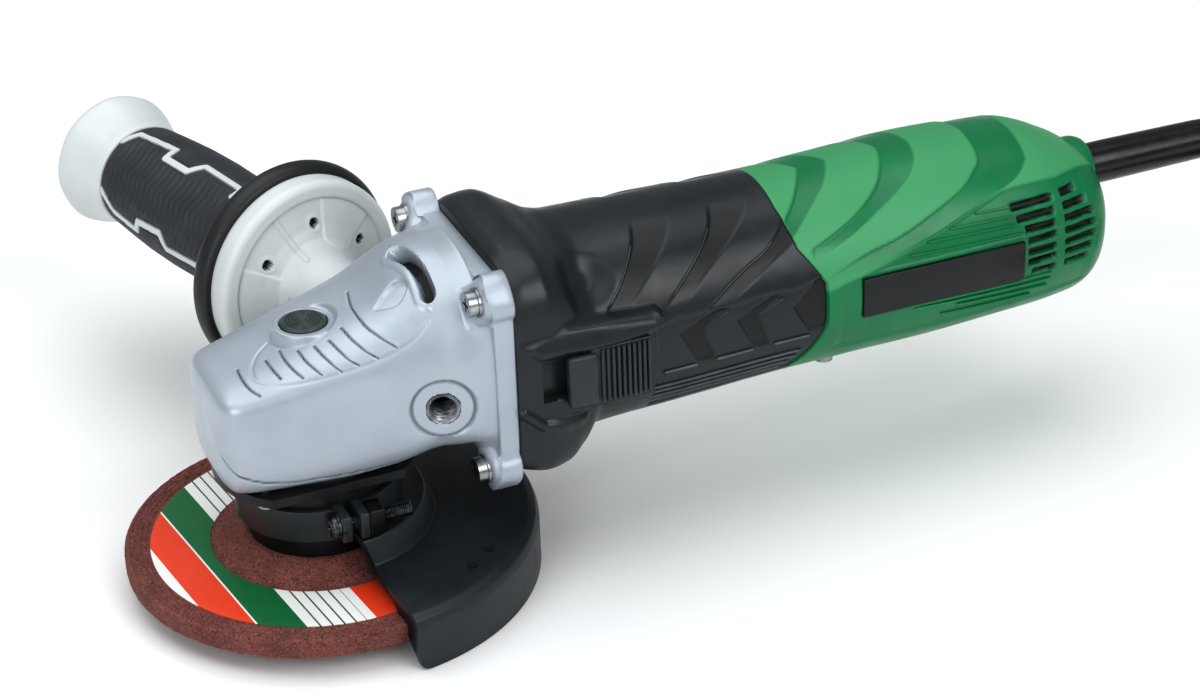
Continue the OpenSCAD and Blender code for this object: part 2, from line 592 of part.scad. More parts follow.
module handle_core() color("gainsboro") on_handle() translate([0, 0, grip_u]) difference() {
  cylinder(h = grip_l, r = core_r);
  translate([0, 0, -1]) cylinder(h = 21.6, r = stud_r);
}
module handle_grip() color("#3a3c40") on_handle() rotate_extrude() polygon([
  [core_r, grip_u], [grip_r - 2.5, grip_u], [grip_r - 2.2, grip_u + 8], [grip_r - 0.6, grip_u + 26],
  [grip_r, grip_u + 0.55 * grip_l], [grip_r - 1, cap_u - 14], [grip_r - 2, cap_u], [core_r, cap_u]]);
module handle_end_cap() color("gainsboro") on_handle() translate([0, 0, cap_u]) rotate_extrude() polygon([
  [0, 0], [grip_r - 2, 0], [grip_r - 1, 6], [grip_r + 1.6, 13], [grip_r + 3, 18], [grip_r + 2.6, 20],
  [grip_r - 1, 22], [0, 23]]);

// ---- Guard ----

guard_in_r = wheel_r + guard_gap;
guard_out_r = guard_in_r + guard_t;
band_in_r = neck_r + 0.1;
band_out_r = band_in_r + 2.2;
band_z0 = flange_h + 3.5;
band_z1 = gland_plate_z - 4.5;
plate_z = 4 - wheel_step;
clamp_y = -30.5;
clamp_z = 15.5;
module guard_sheet() rotate([0, 0, -guard_angle / 2]) rotate_extrude(angle = guard_angle) polygon([
  [band_out_r - 0.5, band_z0], [band_out_r - 0.5, band_z0 - guard_t], [32, band_z0 - guard_t], [35, plate_z],
  [guard_in_r - 6, plate_z], [guard_in_r - 2, plate_z - 1.4], [guard_in_r, plate_z - 4], [guard_in_r, floor_z],
  [guard_out_r, floor_z], [guard_out_r, plate_z - 3.5], [guard_out_r - 1.6, plate_z + 0.2],
  [guard_out_r - 6, plate_z + guard_t], [36.5, plate_z + guard_t], [33.5, band_z0]]);
module wheel_guard() color("#2e3438") difference() {
  union() {
    guard_sheet();
    z_tube(band_z0 - guard_t, band_z1, band_out_r, band_in_r);
    difference() {
      union() {
        block([-3.4, clamp_y - 4, clamp_z - 4.5], [0.2, -band_in_r - 0.3, clamp_z + 4.3]);
        block([2.8, clamp_y - 4, clamp_z - 4.5], [6, -band_in_r - 0.3, clamp_z + 4.3]);
      }
      z_rod(0, big, band_in_r);
    }
  }
  block([0.2, -big, band_z0 + 1], [2.8, 0, big]);
  translate([-10, clamp_y, clamp_z]) rotate([0, 90, 0]) cylinder(h = 30, r = 2.5);
  for (a = guard_rivet_angles) rotate([0, 0, a]) translate([guard_in_r - 8.5, 0, -5]) cylinder(h = 10, r = 1.4);
}
guard_rivet_angles = [-46, -56];
module guard_clamp_screw() color("#55585c") translate([-3.4, clamp_y, clamp_z]) rotate([0, -90, 0]) {
  pan_screw(3.9, 3, 2.5, 24);
  cylinder(h = 0.6, r = 4.3);
}
module guard_clamp_nut() color("#4a4d52") difference() {
  block([6, clamp_y - 4, clamp_z - 4.4], [11, clamp_y + 4, clamp_z + 4.4]);
  translate([0, clamp_y, clamp_z]) rotate([0, 90, 0]) cylinder(h = 30, r = 2.5);
}
module guard_rivets() color("#55585c") for (a = guard_rivet_angles) rotate([0, 0, a])
  translate([guard_in_r - 8.5, 0, plate_z]) cylinder(h = guard_t + 0.6, r = 1.4);

// ---- Spindle and wheel ----

nut_z = -wheel_t;
ring_w = 2.6;
module spindle() color("gainsboro") difference() {
  union() {
    z_rod(nut_z - 10, flange_h, thread_r);
    z_rod(flange_h, bearing_z, thread_r + 2);
    z_rod(bearing_z, gear_top_z + 1, spindle_r);
    z_rod(gear_top_z + 1, journal_top_z, journal_r);
  }
  for (a = [0, 90]) rotate([0, 0, a]) block([-20, -1.35, journal_top_z - lock_travel], [20, 1.35, journal_top_z + 1]);
}
// Bearing inner ring, spacer and retaining ring, threaded on the spindle
module spindle_parts() color("lightsteelblue") {
  z_tube(bearing_z, bearing_z + bearing_t, spindle_r + ring_w, spindle_r);
  z_tube(bearing_z + bearing_t, gear_hub_z, spindle_r + 2.4, spindle_r);
  z_tube(gear_top_z, gear_top_z + 1, spindle_r + 2.2, spindle_r);
}
crown_out = root_point(crown_pitch_r, cone_angle, 1);
crown_in = root_point(crown_pitch_r, cone_angle, inner_scale);
module crown_gear() color("#8a8f96") translate([0, 0, motor_z]) {
  rotate_extrude() polygon([[spindle_r, gear_hub_z - motor_z], [10.5, gear_hub_z - motor_z],
    [10.5, crown_out[1] - 9], [crown_pitch_r + 0.8, crown_out[1] - 3.6], [crown_pitch_r + 0.8, crown_out[1]],
    crown_out, crown_in, [10.6, gear_top_z - motor_z], [spindle_r, gear_top_z - motor_z]]);
  bevel_teeth(crown_pitch_r, cone_angle, crown_teeth, tooth_half_w, 180 / crown_teeth);
}
module inner_flange() color("#3c3f44") difference() {
  union() {
    z_rod(0, flange_h, flange_r);
    z_rod(1.5 - wheel_t, 0.01, bore_r - running);
  }
  z_rod(-big, big, thread_r);
}
hub_r = 24;
rim_in_r = 33.5;
module grinding_wheel() color("#7a3b2e") rotate_extrude() polygon([
  [bore_r, 0], [hub_r, 0], [rim_in_r, -wheel_step], [wheel_r - 1, -wheel_step], [wheel_r, -wheel_step - 1],
  [wheel_r, -wheel_step - wheel_t], [rim_in_r + 1.5, -wheel_step - wheel_t], [hub_r + 1.5, -wheel_t],
  [bore_r, -wheel_t]]);
module wheel_label() color("white") z_tube(-wheel_step, 0.3 - wheel_step, 54.4, 35.2);
module wheel_nut() color("#3c3f44") difference() {
  union() {
    z_rod(nut_z - 3, nut_z, 20);
    z_rod(nut_z - 8, nut_z - 2.9, 15);
  }
  z_rod(-big, big, thread_r);
  for (a = [0 : 90 : 270]) rotate([0, 0, a]) translate([17.5, 0, -big]) cylinder(h = big - 0.5, r = 2.2);
}

// ---- Armature ----

module armature_shaft() color("gainsboro") {
  x_rod(crown_pitch_r - 1, pinion_hub_x, 3.2);
  x_rod(pinion_hub_x, rear_bearing_x - 8, shaft_r);
  x_rod(rear_bearing_x - 8, rear_bearing_x + 6, rear_shaft_r);
}
pinion_cone = 90 - cone_angle;
pinion_pitch_r = crown_pitch_r / crown_teeth * pinion_teeth;
pinion_out = root_point(pinion_pitch_r, pinion_cone, 1);
pinion_in = root_point(pinion_pitch_r, pinion_cone, inner_scale);
module pinion() color("#8a8f96") translate([0, 0, motor_z]) rotate([0, -90, 0]) {
  rotate_extrude() polygon([[0, pinion_in[1]], pinion_in, pinion_out, [pinion_pitch_r + 0.6, pinion_out[1]],
    [7, pinion_out[1] - 2], [7, -pinion_hub_x], [3.2, -pinion_hub_x], [3.2, 1 - crown_pitch_r],
    [0, 1 - crown_pitch_r]]);
  bevel_teeth(pinion_pitch_r, pinion_cone, pinion_teeth, tooth_half_w, 180);
}
module armature_parts() {
  pinion();
  color("lightsteelblue") x_tube(bearing_x, flange_x, shaft_r + 2.5, shaft_r);
  color("lightsteelblue") x_tube(rear_bearing_x - 1, rear_bearing_x + 6, rear_race_in_r, rear_shaft_r);
  color("slategray") x_tube(core_x, core_x + core_l, armature_d / 2, shaft_r);
  color("peru") x_tube(core_x - coil_l, core_x, armature_d / 2 - 2.5, shaft_r);
  color("peru") x_tube(core_x + core_l, commutator_x - 1, armature_d / 2 - 2.5, shaft_r);
  color("chocolate") x_tube(commutator_x, commutator_x + 15, commutator_r, shaft_r);
}
module fan() color("#d9d9d0") difference() {
  union() {
    x_rod(fan_x + 9.5, fan_x + 11, barrel_r - 3.5);
    x_rod(fan_x, fan_x + 11, 9);
    for (i = [0 : 13]) along_x(fan_x) rotate([0, 0, i * 360 / 14]) translate([14, -0.7, 0])
      cube([barrel_r - 18, 1.4, 9.6]);
  }
  x_rod(fan_x - 1, fan_x + 12, shaft_r);
}

// ---- Controls ----

module lock_button() color("#3f4644") {
  z_rod(button_z, button_top_z, button_d / 2);
  z_rod(stem_z, button_z + 0.01, 3);
  block([-2.8, -1.05, blade_tip_z], [2.8, 1.05, stem_z + 0.01]);
}
module lock_spring() color("gainsboro") translate([0, 0, pocket_z + 0.4])
  tube(helix(4.3, button_z - pocket_z - 0.8, 3, 12), 0.4, 6, [0, 0, 1]);
// The thumb slide, its stem through the slot and the rod back to the switch
knob_x0 = slot_x0 + switch_travel;
module switch_slider() color("#2c3034") {
  block([knob_x0, -pad_y - 3.2, motor_z - 10], [knob_x0 + 28, -pad_y - 0.2, motor_z + 9.5]);
  block([knob_x0 + 1.5, -pad_y - 0.3, motor_z - 6], [slot_x1 - 1, -barrel_r - press, motor_z + 6]);
  block([slot_x1 - 5.5, -barrel_r - 0.5, motor_z - 4], [slot_x1 - 1, -26.2, motor_z + 4]);
  block([slot_x1 - 1.01, -28, motor_z - 4], [rear_bearing_x + 31, -26, motor_z + 4]);
  block([rear_bearing_x + 28, -26.01, motor_z - 3.4], [rear_bearing_x + 31, -21, motor_z + 3.4]);
}

gear_cover();
gear_cover_screws();
gear_cover_washers();
packing_gland();
packing_gland_screws();
spindle_bearing_outer();
spindle_bearing_balls();
spindle_bearing_ring_clip();
spindle_bush();
front_bearing_outer();
front_bearing_balls();
front_bearing_plate();
motor_housing();
fan_guide();
stator_core();
stator_coils();
stator_screws();
brush_holders();
carbon_brushes();
brush_springs();
rear_bearing_outer();
rear_bearing_balls();
rear_bearing_sleeve();
tail_cover();
tail_cover_screws();
nameplates();
switch_body();
noise_capacitor();
cord_armor();
cord_clip();
cord_clip_screws();
power_cord();
power_cord_coil();
power_cord_end();
plug_body();
plug_pins();
handle_stud();
handle_disc();
handle_damper();
handle_core();
handle_grip();
handle_end_cap();
handle_disc_screws();
wheel_guard();
guard_clamp_screw();
guard_clamp_nut();
guard_rivets();
spindle();
spindle_parts();
crown_gear();
inner_flange();
grinding_wheel();
wheel_label();
wheel_nut();
armature_shaft();
armature_parts();
fan();
lock_button();
lock_spring();
switch_slider();
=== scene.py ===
"""A corded angle grinder for 125 mm wheels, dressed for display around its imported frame.

Lengths inside the classes are in millimetres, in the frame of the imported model: +Z up the
spindle, +X from the spindle to the lead, +Y to the side handle, origin on the wheel seat.
"""

import logging
import math
from dataclasses import dataclass
from enum import Enum
from typing import Sequence

import bmesh
import bpy
import numpy as np
from mathutils import Matrix, Vector


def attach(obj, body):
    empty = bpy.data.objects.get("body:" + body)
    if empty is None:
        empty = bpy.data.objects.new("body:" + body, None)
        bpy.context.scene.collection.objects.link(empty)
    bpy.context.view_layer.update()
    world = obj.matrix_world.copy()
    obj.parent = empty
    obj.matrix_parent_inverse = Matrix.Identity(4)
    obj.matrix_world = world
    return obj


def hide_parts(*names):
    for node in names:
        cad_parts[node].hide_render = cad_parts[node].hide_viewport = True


Tree = bpy.types.NodeTree
Socket = bpy.types.NodeSocket
Piece = bpy.types.Object
Value = Socket | float | tuple[float, ...]
Line = tuple[tuple[float, float], ...]

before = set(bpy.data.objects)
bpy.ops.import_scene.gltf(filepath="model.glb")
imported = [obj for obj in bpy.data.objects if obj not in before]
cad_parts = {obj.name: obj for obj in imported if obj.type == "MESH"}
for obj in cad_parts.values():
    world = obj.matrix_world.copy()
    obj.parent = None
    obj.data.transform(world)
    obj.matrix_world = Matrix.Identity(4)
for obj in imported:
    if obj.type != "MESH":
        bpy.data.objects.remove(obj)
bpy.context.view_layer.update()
LOG = logging.getLogger("grinder")
MM = 0.001
MOTOR_Z = 52.8
LEAD_Z = 63.4
FLOOR_Z = -18.0
SHARP_SHELL = 75.0
HANDLE_MOUTH = (32.7, 31.7, 48.5)
HANDLE_TILT = 16.0
UPRIGHT = Matrix.Identity(4)
MADE: dict[str, bpy.types.Material] = {}


class Body(Enum):
    """The rigid bodies that pieces ride on."""

    ROOT = "root"
    SPINDLE = "spindle_group"
    ARMATURE = "armature_group"
    GUARD = "guard_group"
    HANDLE = "handle_group"
    LOCK = "lock_group"
    SLIDER = "slider_group"


class Ends(Enum):
    """How a skin of rings is closed."""

    CAPPED = "capped"
    LOOPED = "looped"


# ---- Materials ----


def linear(code: str) -> tuple[float, float, float, float]:
    """Turn an sRGB hex colour into linear RGBA.

    Args:
        code: six hex digits after a hash.

    Returns:
        Red, green, blue and alpha, linear.
    """
    values = [int(code[i : i + 2], 16) / 255 for i in (1, 3, 5)]
    made = [v / 12.92 if v <= 0.04045 else ((v + 0.055) / 1.055) ** 2.4 for v in values]
    return (made[0], made[1], made[2], 1.0)


def add(tree: Tree, kind: str, inputs: dict | None = None, **settings: object) -> bpy.types.Node:
    """Add a node with its settings and its inputs.

    Args:
        tree: the material's node tree.
        kind: the node's type name.
        inputs: value or output socket for each input, by name or number.
        settings: properties of the node.

    Returns:
        The node.
    """
    made = tree.nodes.new(kind)
    for key, value in settings.items():
        setattr(made, key, value)
    for key, value in (inputs or {}).items():
        if isinstance(value, Socket):
            tree.links.new(value, made.inputs[key])
        else:
            made.inputs[key].default_value = value
    return made


def math_node(tree: Tree, operation: str, *values: Value) -> Socket:
    """Add one step of arithmetic and return its result socket."""
    return add(tree, "ShaderNodeMath", dict(enumerate(values)), operation=operation).outputs[0]


def mixed(tree: Tree, share: Value, first: Value, second: Value) -> Socket:
    """Mix two colours by a share and return the result socket."""
    made = add(tree, "ShaderNodeMix", {0: share, 6: first, 7: second}, data_type="RGBA")
    return made.outputs[2]


@dataclass(frozen=True)
class Finish:
    """What every surface here shares: a base colour that drifts, an uneven gloss, a fine grain."""

    name: str
    base: str
    drift: str
    roughness: float
    metallic: float = 0.0
    ior: float = 1.5
    coat: float = 0.0
    patch_mm: float = 18.0
    grain_mm: float = 0.5
    grain_depth_mm: float = 0.01
    gloss_change: float = 0.06

    def noise(self, tree: Tree, size_mm: float, detail: float = 2.0) -> Socket:
        """Add noise with features of a real size and return its value socket.

        Args:
            tree: the material's node tree.
            size_mm: the size of a feature.
            detail: how many finer layers it has.

        Returns:
            The noise's value socket.
        """
        place = add(tree, "ShaderNodeTexCoord").outputs["Object"]
        inputs = {"Vector": place, "Scale": 1 / (size_mm * MM), "Detail": detail}
        return add(tree, "ShaderNodeTexNoise", inputs).outputs[0]

    def colour(self, tree: Tree) -> Socket:
        """Return the socket of the surface's colour."""
        patches = add(tree, "ShaderNodeMapRange", {0: self.noise(tree, self.patch_mm), 1: 0.35, 2: 0.65})
        return mixed(tree, patches.outputs[0], linear(self.base), linear(self.drift))

    def gloss(self, tree: Tree) -> Socket:
        """Return the socket of the surface's roughness.

        Args:
            tree: the material's node tree.

        Returns:
            The roughness socket.
        """
        low, high = self.roughness - self.gloss_change, self.roughness + self.gloss_change
        inputs = {0: self.noise(tree, self.patch_mm / 4, 4.0), 1: 0.3, 2: 0.7, 3: low, 4: high}
        return add(tree, "ShaderNodeMapRange", inputs).outputs[0]

    def height(self, tree: Tree) -> Socket:
        """Return the socket of the fine relief, from 0 to 1."""
        return self.noise(tree, self.grain_mm, 3.0)

    def material(self) -> bpy.types.Material:
        """Make the material, or find it if a piece already wears it.

        Returns:
            The material.
        """
        if self.name in MADE:
            return MADE[self.name]
        made = MADE[self.name] = bpy.data.materials.new(f"{self.name}_finish")
        made.use_nodes = True
        tree = made.node_tree
        tree.nodes.clear()
        inputs = {"Height": self.height(tree), "Distance": self.grain_depth_mm * MM, "Strength": 1.0}
        bump = add(tree, "ShaderNodeBump", inputs)
        inputs = {
            "Base Color": self.colour(tree),
            "Roughness": self.gloss(tree),
            "Normal": bump.outputs[0],
            "Metallic": self.metallic,
            "Coat Weight": self.coat,
        }
        if not self.metallic:
            inputs["IOR"] = self.ior
        shader = add(tree, "ShaderNodeBsdfPrincipled", inputs)
        add(tree, "ShaderNodeOutputMaterial", {"Surface": shader.outputs[0]})
        return made


@dataclass(frozen=True)
class TonedFinish(Finish):
    """A finish with a second colour and gloss where the mesh attribute "tone" is 1.

    Where the attribute is -1 the surface is the unlit inside of an opening.
    """

    second: str = "#000000"
    second_roughness: float = 0.5
    opening: str = "#040505"

    def tone(self, tree: Tree) -> Socket:
        """Return the socket of the tone attribute."""
        return add(tree, "ShaderNodeAttribute", attribute_name="tone").outputs["Fac"]

    def colour(self, tree: Tree) -> Socket:
        """Return the drifting base colour, changed to the second or the opening's by tone."""
        shown = mixed(tree, self.tone(tree), super().colour(tree), linear(self.second))
        return mixed(tree, math_node(tree, "MULTIPLY", self.tone(tree), -1.0), shown, linear(self.opening))

    def gloss(self, tree: Tree) -> Socket:
        """Return the uneven gloss, changed to the second gloss by tone.

        Args:
            tree: the material's node tree.

        Returns:
            The roughness socket.
        """
        plain = super().gloss(tree)
        inputs = {0: math_node(tree, "ABSOLUTE", self.tone(tree)), 2: plain, 3: self.second_roughness}
        return add(tree, "ShaderNodeMix", inputs, data_type="FLOAT").outputs[0]


@dataclass(frozen=True)
class BondedAbrasive(Finish):
    """Brown aluminium-oxide grit pressed in resin: grains of three browns, each its own bump."""

    grit_mm: float = 0.5
    dark: str = "#43231f"
    pale: str = "#8f5a50"

    def cells(self, tree: Tree, output: str) -> Socket:
        """Add grit-sized cells and return one of their outputs.

        Args:
            tree: the material's node tree.
            output: the name of the output.

        Returns:
            The output socket.
        """
        place = add(tree, "ShaderNodeTexCoord").outputs["Object"]
        inputs = {"Vector": place, "Scale": 1 / (self.grit_mm * MM)}
        return add(tree, "ShaderNodeTexVoronoi", inputs).outputs[output]

    def colour(self, tree: Tree) -> Socket:
        """Return resin brown with darker and paler grains.

        Args:
            tree: the material's node tree.

        Returns:
            The colour socket.
        """
        pick = add(tree, "ShaderNodeSeparateColor", {0: self.cells(tree, "Color")}).outputs[0]
        dark = add(tree, "ShaderNodeMapRange", {0: pick, 1: 0.3, 2: 0.0}).outputs[0]
        pale = add(tree, "ShaderNodeMapRange", {0: pick, 1: 0.78, 2: 1.0}).outputs[0]
        shaded = mixed(tree, dark, super().colour(tree), linear(self.dark))
        return mixed(tree, pale, shaded, linear(self.pale))

    def height(self, tree: Tree) -> Socket:
        """Return each grain's own dome."""
        return math_node(tree, "SUBTRACT", 1.0, self.cells(tree, "Distance"))


@dataclass(frozen=True)
class PrintedPaper(Finish):
    """Coated label paper printed in broad parallel bands, with ruled lines on a white band."""

    red: str = "#e0451f"
    green: str = "#0b6b3c"
    ink: str = "#4b4f52"
    angle_deg: float = 6.7
    red_band: tuple[float, float] = (-50.9, -39.9)
    green_band: tuple[float, float] = (-39.3, -27.2)
    red_patch: tuple[float, float] = (-7.0, 3.8)
    ruled: tuple[float, float] = (-24.0, -10.0)
    rule_mm: float = 3.4

    def band(self, tree: Tree, across: Socket, edges: tuple[float, float]) -> Socket:
        """Return 1 where the place across the bands, in metres, lies between two edges in mm."""
        above = math_node(tree, "GREATER_THAN", across, edges[0] * MM)
        return math_node(tree, "MULTIPLY", above, math_node(tree, "LESS_THAN", across, edges[1] * MM))

    def colour(self, tree: Tree) -> Socket:
        """Return the printed colour.

        Args:
            tree: the material's node tree.

        Returns:
            The colour socket.
        """
        place = add(tree, "ShaderNodeTexCoord").outputs["Object"]
        split = add(tree, "ShaderNodeSeparateXYZ", {0: place})
        turn = math.radians(self.angle_deg)
        across = math_node(tree, "MULTIPLY", split.outputs[0], math.cos(turn))
        across = math_node(tree, "MULTIPLY_ADD", split.outputs[1], math.sin(turn), across)
        shown = super().colour(tree)
        along = math_node(tree, "FRACT", math_node(tree, "MULTIPLY", across, 1 / (self.rule_mm * MM)))
        rule = math_node(tree, "LESS_THAN", along, 0.16)
        rule = math_node(tree, "MULTIPLY", rule, self.band(tree, across, self.ruled))
        shown = mixed(tree, rule, shown, linear(self.ink))
        for edges, code in ((self.red_band, self.red), (self.green_band, self.green), (self.red_patch, self.red)):
            shown = mixed(tree, self.band(tree, across, edges), shown, linear(code))
        return shown


# Die-cast aluminium under silver lacquer: pale satin metal with an orange-peel ripple.
# Its second colour is painted shade in the grooves and in the rings round the handle holes; the exhaust slot and the
# handle bores take the painted shade of an opening.
SILVER_CASTING = TonedFinish(
    "silver_lacquer_on_casting", "#b2bbc4", "#aab3bd", 0.4, metallic=0.4, coat=0.2, patch_mm=30, grain_mm=0.9,
    grain_depth_mm=0.008, second="#4d545a", second_roughness=0.6,
)
# Glass-filled polyamide: satin blue-black, darker and a little duller in the waves and chevrons.
BLACK_HOUSING = TonedFinish(
    "black_polyamide", "#181f23", "#1d2428", 0.34, patch_mm=26, grain_mm=0.35,
    grain_depth_mm=0.004, second="#050708", second_roughness=0.42,
)
# Green polyamide: glossy ground with a paler, satin-moulded upper side and bands.
# The air inlets take the painted shade of an opening.
GREEN_HOUSING = TonedFinish(
    "green_polyamide", "#017a4a", "#017044", 0.32, patch_mm=28, grain_mm=0.4,
    grain_depth_mm=0.005, second="#429765", second_roughness=0.5,
)
# Pale grey polyamide: milky, satin, faint sink marks, with painted shade down the screw holes.
GREY_PLASTIC = TonedFinish(
    "pale_grey_polyamide", "#d0d6d7", "#c9cfd0", 0.42, ior=1.53, patch_mm=22, grain_mm=0.6, grain_depth_mm=0.006,
    second="#b3bab9", second_roughness=0.5,
)
# Soft elastomer overmoulded on the grip, with a pale zigzag inlay where tone is 1.
GRIP_ELASTOMER = TonedFinish(
    "grip_elastomer", "#33373c", "#2b2f34", 0.62, patch_mm=14, grain_mm=0.4, grain_depth_mm=0.02,
    second="#cdd2d5", second_roughness=0.45,
)
# Black rubber of the damping ring: dark with a soft broad sheen.
BLACK_RUBBER = Finish(
    "black_rubber", "#17181a", "#1d1e20", 0.45, ior=1.52, patch_mm=16, grain_mm=0.5, grain_depth_mm=0.01,
)
# Black lead sheath: smooth extruded rubber with a long clear highlight.
LEAD_RUBBER = Finish(
    "lead_rubber", "#0c0d0f", "#121315", 0.25, ior=1.52, patch_mm=20, grain_mm=0.8, grain_depth_mm=0.006,
)
# Powder-coated sheet steel of the guard: dark grey with a fine even texture.
GUARD_PAINT = Finish(
    "guard_powder_coat", "#1d2327", "#22292d", 0.4, patch_mm=30, grain_mm=0.8, grain_depth_mm=0.012,
)
# Black oxide on turned steel: dark metal with a soft glint.
BLACK_STEEL = Finish(
    "black_oxide_steel", "#2b2d30", "#202225", 0.34, metallic=0.85, patch_mm=8, grain_mm=0.4, grain_depth_mm=0.008,
)
# Zinc-plated screws: bright, a little yellowed, rubbed.
BRIGHT_STEEL = Finish(
    "zinc_plated_steel", "#b9bcbd", "#8f9395", 0.28, metallic=1.0, patch_mm=4, grain_mm=0.3, grain_depth_mm=0.006,
)
# Cut thread in cast aluminium: pale, matte from the tap.
RUBBED_THREAD = Finish("cut_thread_aluminium", "#9fa2a5", "#86898c", 0.36, metallic=0.8, patch_mm=3, grain_mm=0.3)
# Rubbed black clamp screw: bare steel shows at its corners.
CLAMP_STEEL = Finish(
    "rubbed_black_steel", "#5b5e61", "#3a3c3f", 0.3, metallic=1.0, patch_mm=2, grain_mm=0.3, grain_depth_mm=0.01,
)
# Moulded lines painted pale along their crests: a painted highlight, also on the thin bars along the waves' lit front
# edges.
PAINTED_HIGHLIGHT_LINES = Finish("polyamide_painted_highlight", "#4c5356", "#3d4447", 0.32, patch_mm=8, grain_mm=0.4)
# Blackened gland casting: machined faces show as a soft sheen.
BLACK_CASTING = Finish(
    "black_casting", "#1a1c1f", "#24272a", 0.36, metallic=0.4, patch_mm=12, grain_mm=0.7, grain_depth_mm=0.02,
)
# Ground bearing steel: bright mirror-like rings and balls.
BEARING_STEEL = Finish("ground_bearing_steel", "#b4b8bc", "#a2a6aa", 0.18, metallic=1.0, patch_mm=6)
# Hardened gear steel: grey, with the dull sheen of cut teeth.
GEAR_STEEL = Finish("hardened_gear_steel", "#84888d", "#6f7479", 0.34, metallic=1.0, patch_mm=5)
# Phosphated steel: dark and nearly matte.
DARK_STEEL = Finish("phosphated_steel", "#3a3c3f", "#2c2e31", 0.5, metallic=0.8, patch_mm=5)
# Sintered bronze: matte and brown, with fine pores.
SINTERED_BRONZE = Finish(
    "sintered_bronze", "#a8743f", "#8d5f33", 0.48, metallic=1.0, patch_mm=3, grain_mm=0.25, grain_depth_mm=0.02,
)
# Stacked lamination steel: grey, with a fine grain across the stack.
LAMINATION_STEEL = Finish(
    "lamination_steel", "#7c8084", "#63676b", 0.42, metallic=1.0, patch_mm=4, grain_mm=0.5, grain_depth_mm=0.03,
)
# Enamelled copper wire: red-brown under a clear glossy coat.
COPPER_WIRE = Finish(
    "enamelled_copper_wire", "#a3552b", "#7f3d1d", 0.32, metallic=0.9, coat=0.4, patch_mm=3, grain_mm=0.6,
    grain_depth_mm=0.08,
)
# Rolled brass sheet: yellow and smooth.
BRASS_SHEET = Finish("rolled_brass", "#c0953f", "#a37c31", 0.3, metallic=1.0, patch_mm=5)
# Pressed carbon: matte black, finely granular.
CARBON = Finish("pressed_carbon", "#1c1c1d", "#262627", 0.6, patch_mm=3, grain_mm=0.2, grain_depth_mm=0.02)
# Nickel-plated brass of the plug pins: warm, pale and bright.
PLATED_BRASS = Finish("nickel_plated_brass", "#c8c4b6", "#aeaa9c", 0.2, metallic=1.0, patch_mm=4)
# Moulded thermoset: dark grey, satin.
SWITCH_PLASTIC = Finish("switch_thermoset", "#26272a", "#2f3034", 0.45, patch_mm=8)
# Cast epoxy of the capacitor: amber, satin.
CAPACITOR_PLASTIC = Finish("capacitor_epoxy", "#b98a2c", "#a57820", 0.4, patch_mm=8)
# Undyed polyamide of the fan: cream, satin.
FAN_PLASTIC = Finish("moulded_fan_polyamide", "#d6d3c6", "#c6c3b5", 0.5, patch_mm=12)
# Dark green-grey polyamide of the lock button: satin.
BUTTON_PLASTIC = Finish(
    "button_polyamide", "#3c4a48", "#34413f", 0.42, ior=1.53, patch_mm=4, grain_mm=0.4, grain_depth_mm=0.01,
)
# Dark polyamide of the switch slide: satin, lightly textured.
KNOB_PLASTIC = Finish(
    "knob_polyamide", "#2b3136", "#23292e", 0.4, ior=1.53, patch_mm=6, grain_mm=0.3, grain_depth_mm=0.02,
)
# Printed film of the nameplates: near black, smooth, with a clear soft gloss.
PLATE_FILM = Finish("nameplate_film", "#0c0f10", "#121517", 0.3, patch_mm=16, grain_mm=0.5, grain_depth_mm=0.004)
# Aluminium-oxide grit in resin: matte red-brown, every grain its own bump.
ABRASIVE = BondedAbrasive(
    "bonded_abrasive", "#7d473f", "#6c3a34", 0.85, ior=1.6, patch_mm=9, grain_mm=0.5, grain_depth_mm=0.2,
)
# Coated paper of the wheel label: off-white, satin, printed in bands.
LABEL_PAPER = PrintedPaper(
    "printed_label_paper", "#eceeeb", "#e4e6e2", 0.45, patch_mm=20, grain_mm=0.4, grain_depth_mm=0.01,
)

CAD_FINISHES: dict[Finish, tuple[str, ...]] = {
    BRIGHT_STEEL: (
        "gear_cover_screws", "gear_cover_washers", "packing_gland_screws", "front_bearing_plate",
        "stator_screws", "brush_springs", "tail_cover_screws", "cord_clip_screws", "handle_stud", "spindle",
        "lock_spring",
    ),
    BLACK_CASTING: ("packing_gland",),
    BEARING_STEEL: (
        "spindle_bearing_outer", "spindle_bearing_balls", "front_bearing_outer", "front_bearing_balls",
        "rear_bearing_outer", "rear_bearing_balls", "spindle_parts",
    ),
    DARK_STEEL: ("spindle_bearing_ring_clip", "handle_disc_screws", "guard_rivets"),
    SINTERED_BRONZE: ("spindle_bush",),
    SWITCH_PLASTIC: ("fan_guide", "switch_body", "cord_clip"),
    LAMINATION_STEEL: ("stator_core", "armature_parts"),
    COPPER_WIRE: ("stator_coils",),
    BRASS_SHEET: ("brush_holders",),
    CARBON: ("carbon_brushes",),
    BLACK_RUBBER: ("rear_bearing_sleeve",),
    CAPACITOR_PLASTIC: ("noise_capacitor",),
    PLATED_BRASS: ("plug_pins",),
    GREY_PLASTIC: ("handle_core",),
    GEAR_STEEL: ("crown_gear", "armature_shaft"),
    BLACK_STEEL: ("inner_flange", "wheel_nut"),
    FAN_PLASTIC: ("fan",),
}


# ---- Shapes ----


def smooth(value: np.ndarray, width: float) -> np.ndarray:
    """Rise smoothly from 0 to 1 as a value crosses zero.

    Args:
        value: a signed distance in mm.
        width: the distance over which it rises.

    Returns:
        The share, from 0 to 1.
    """
    t = np.clip(value / width + 0.5, 0, 1)
    return t * t * (3 - 2 * t)


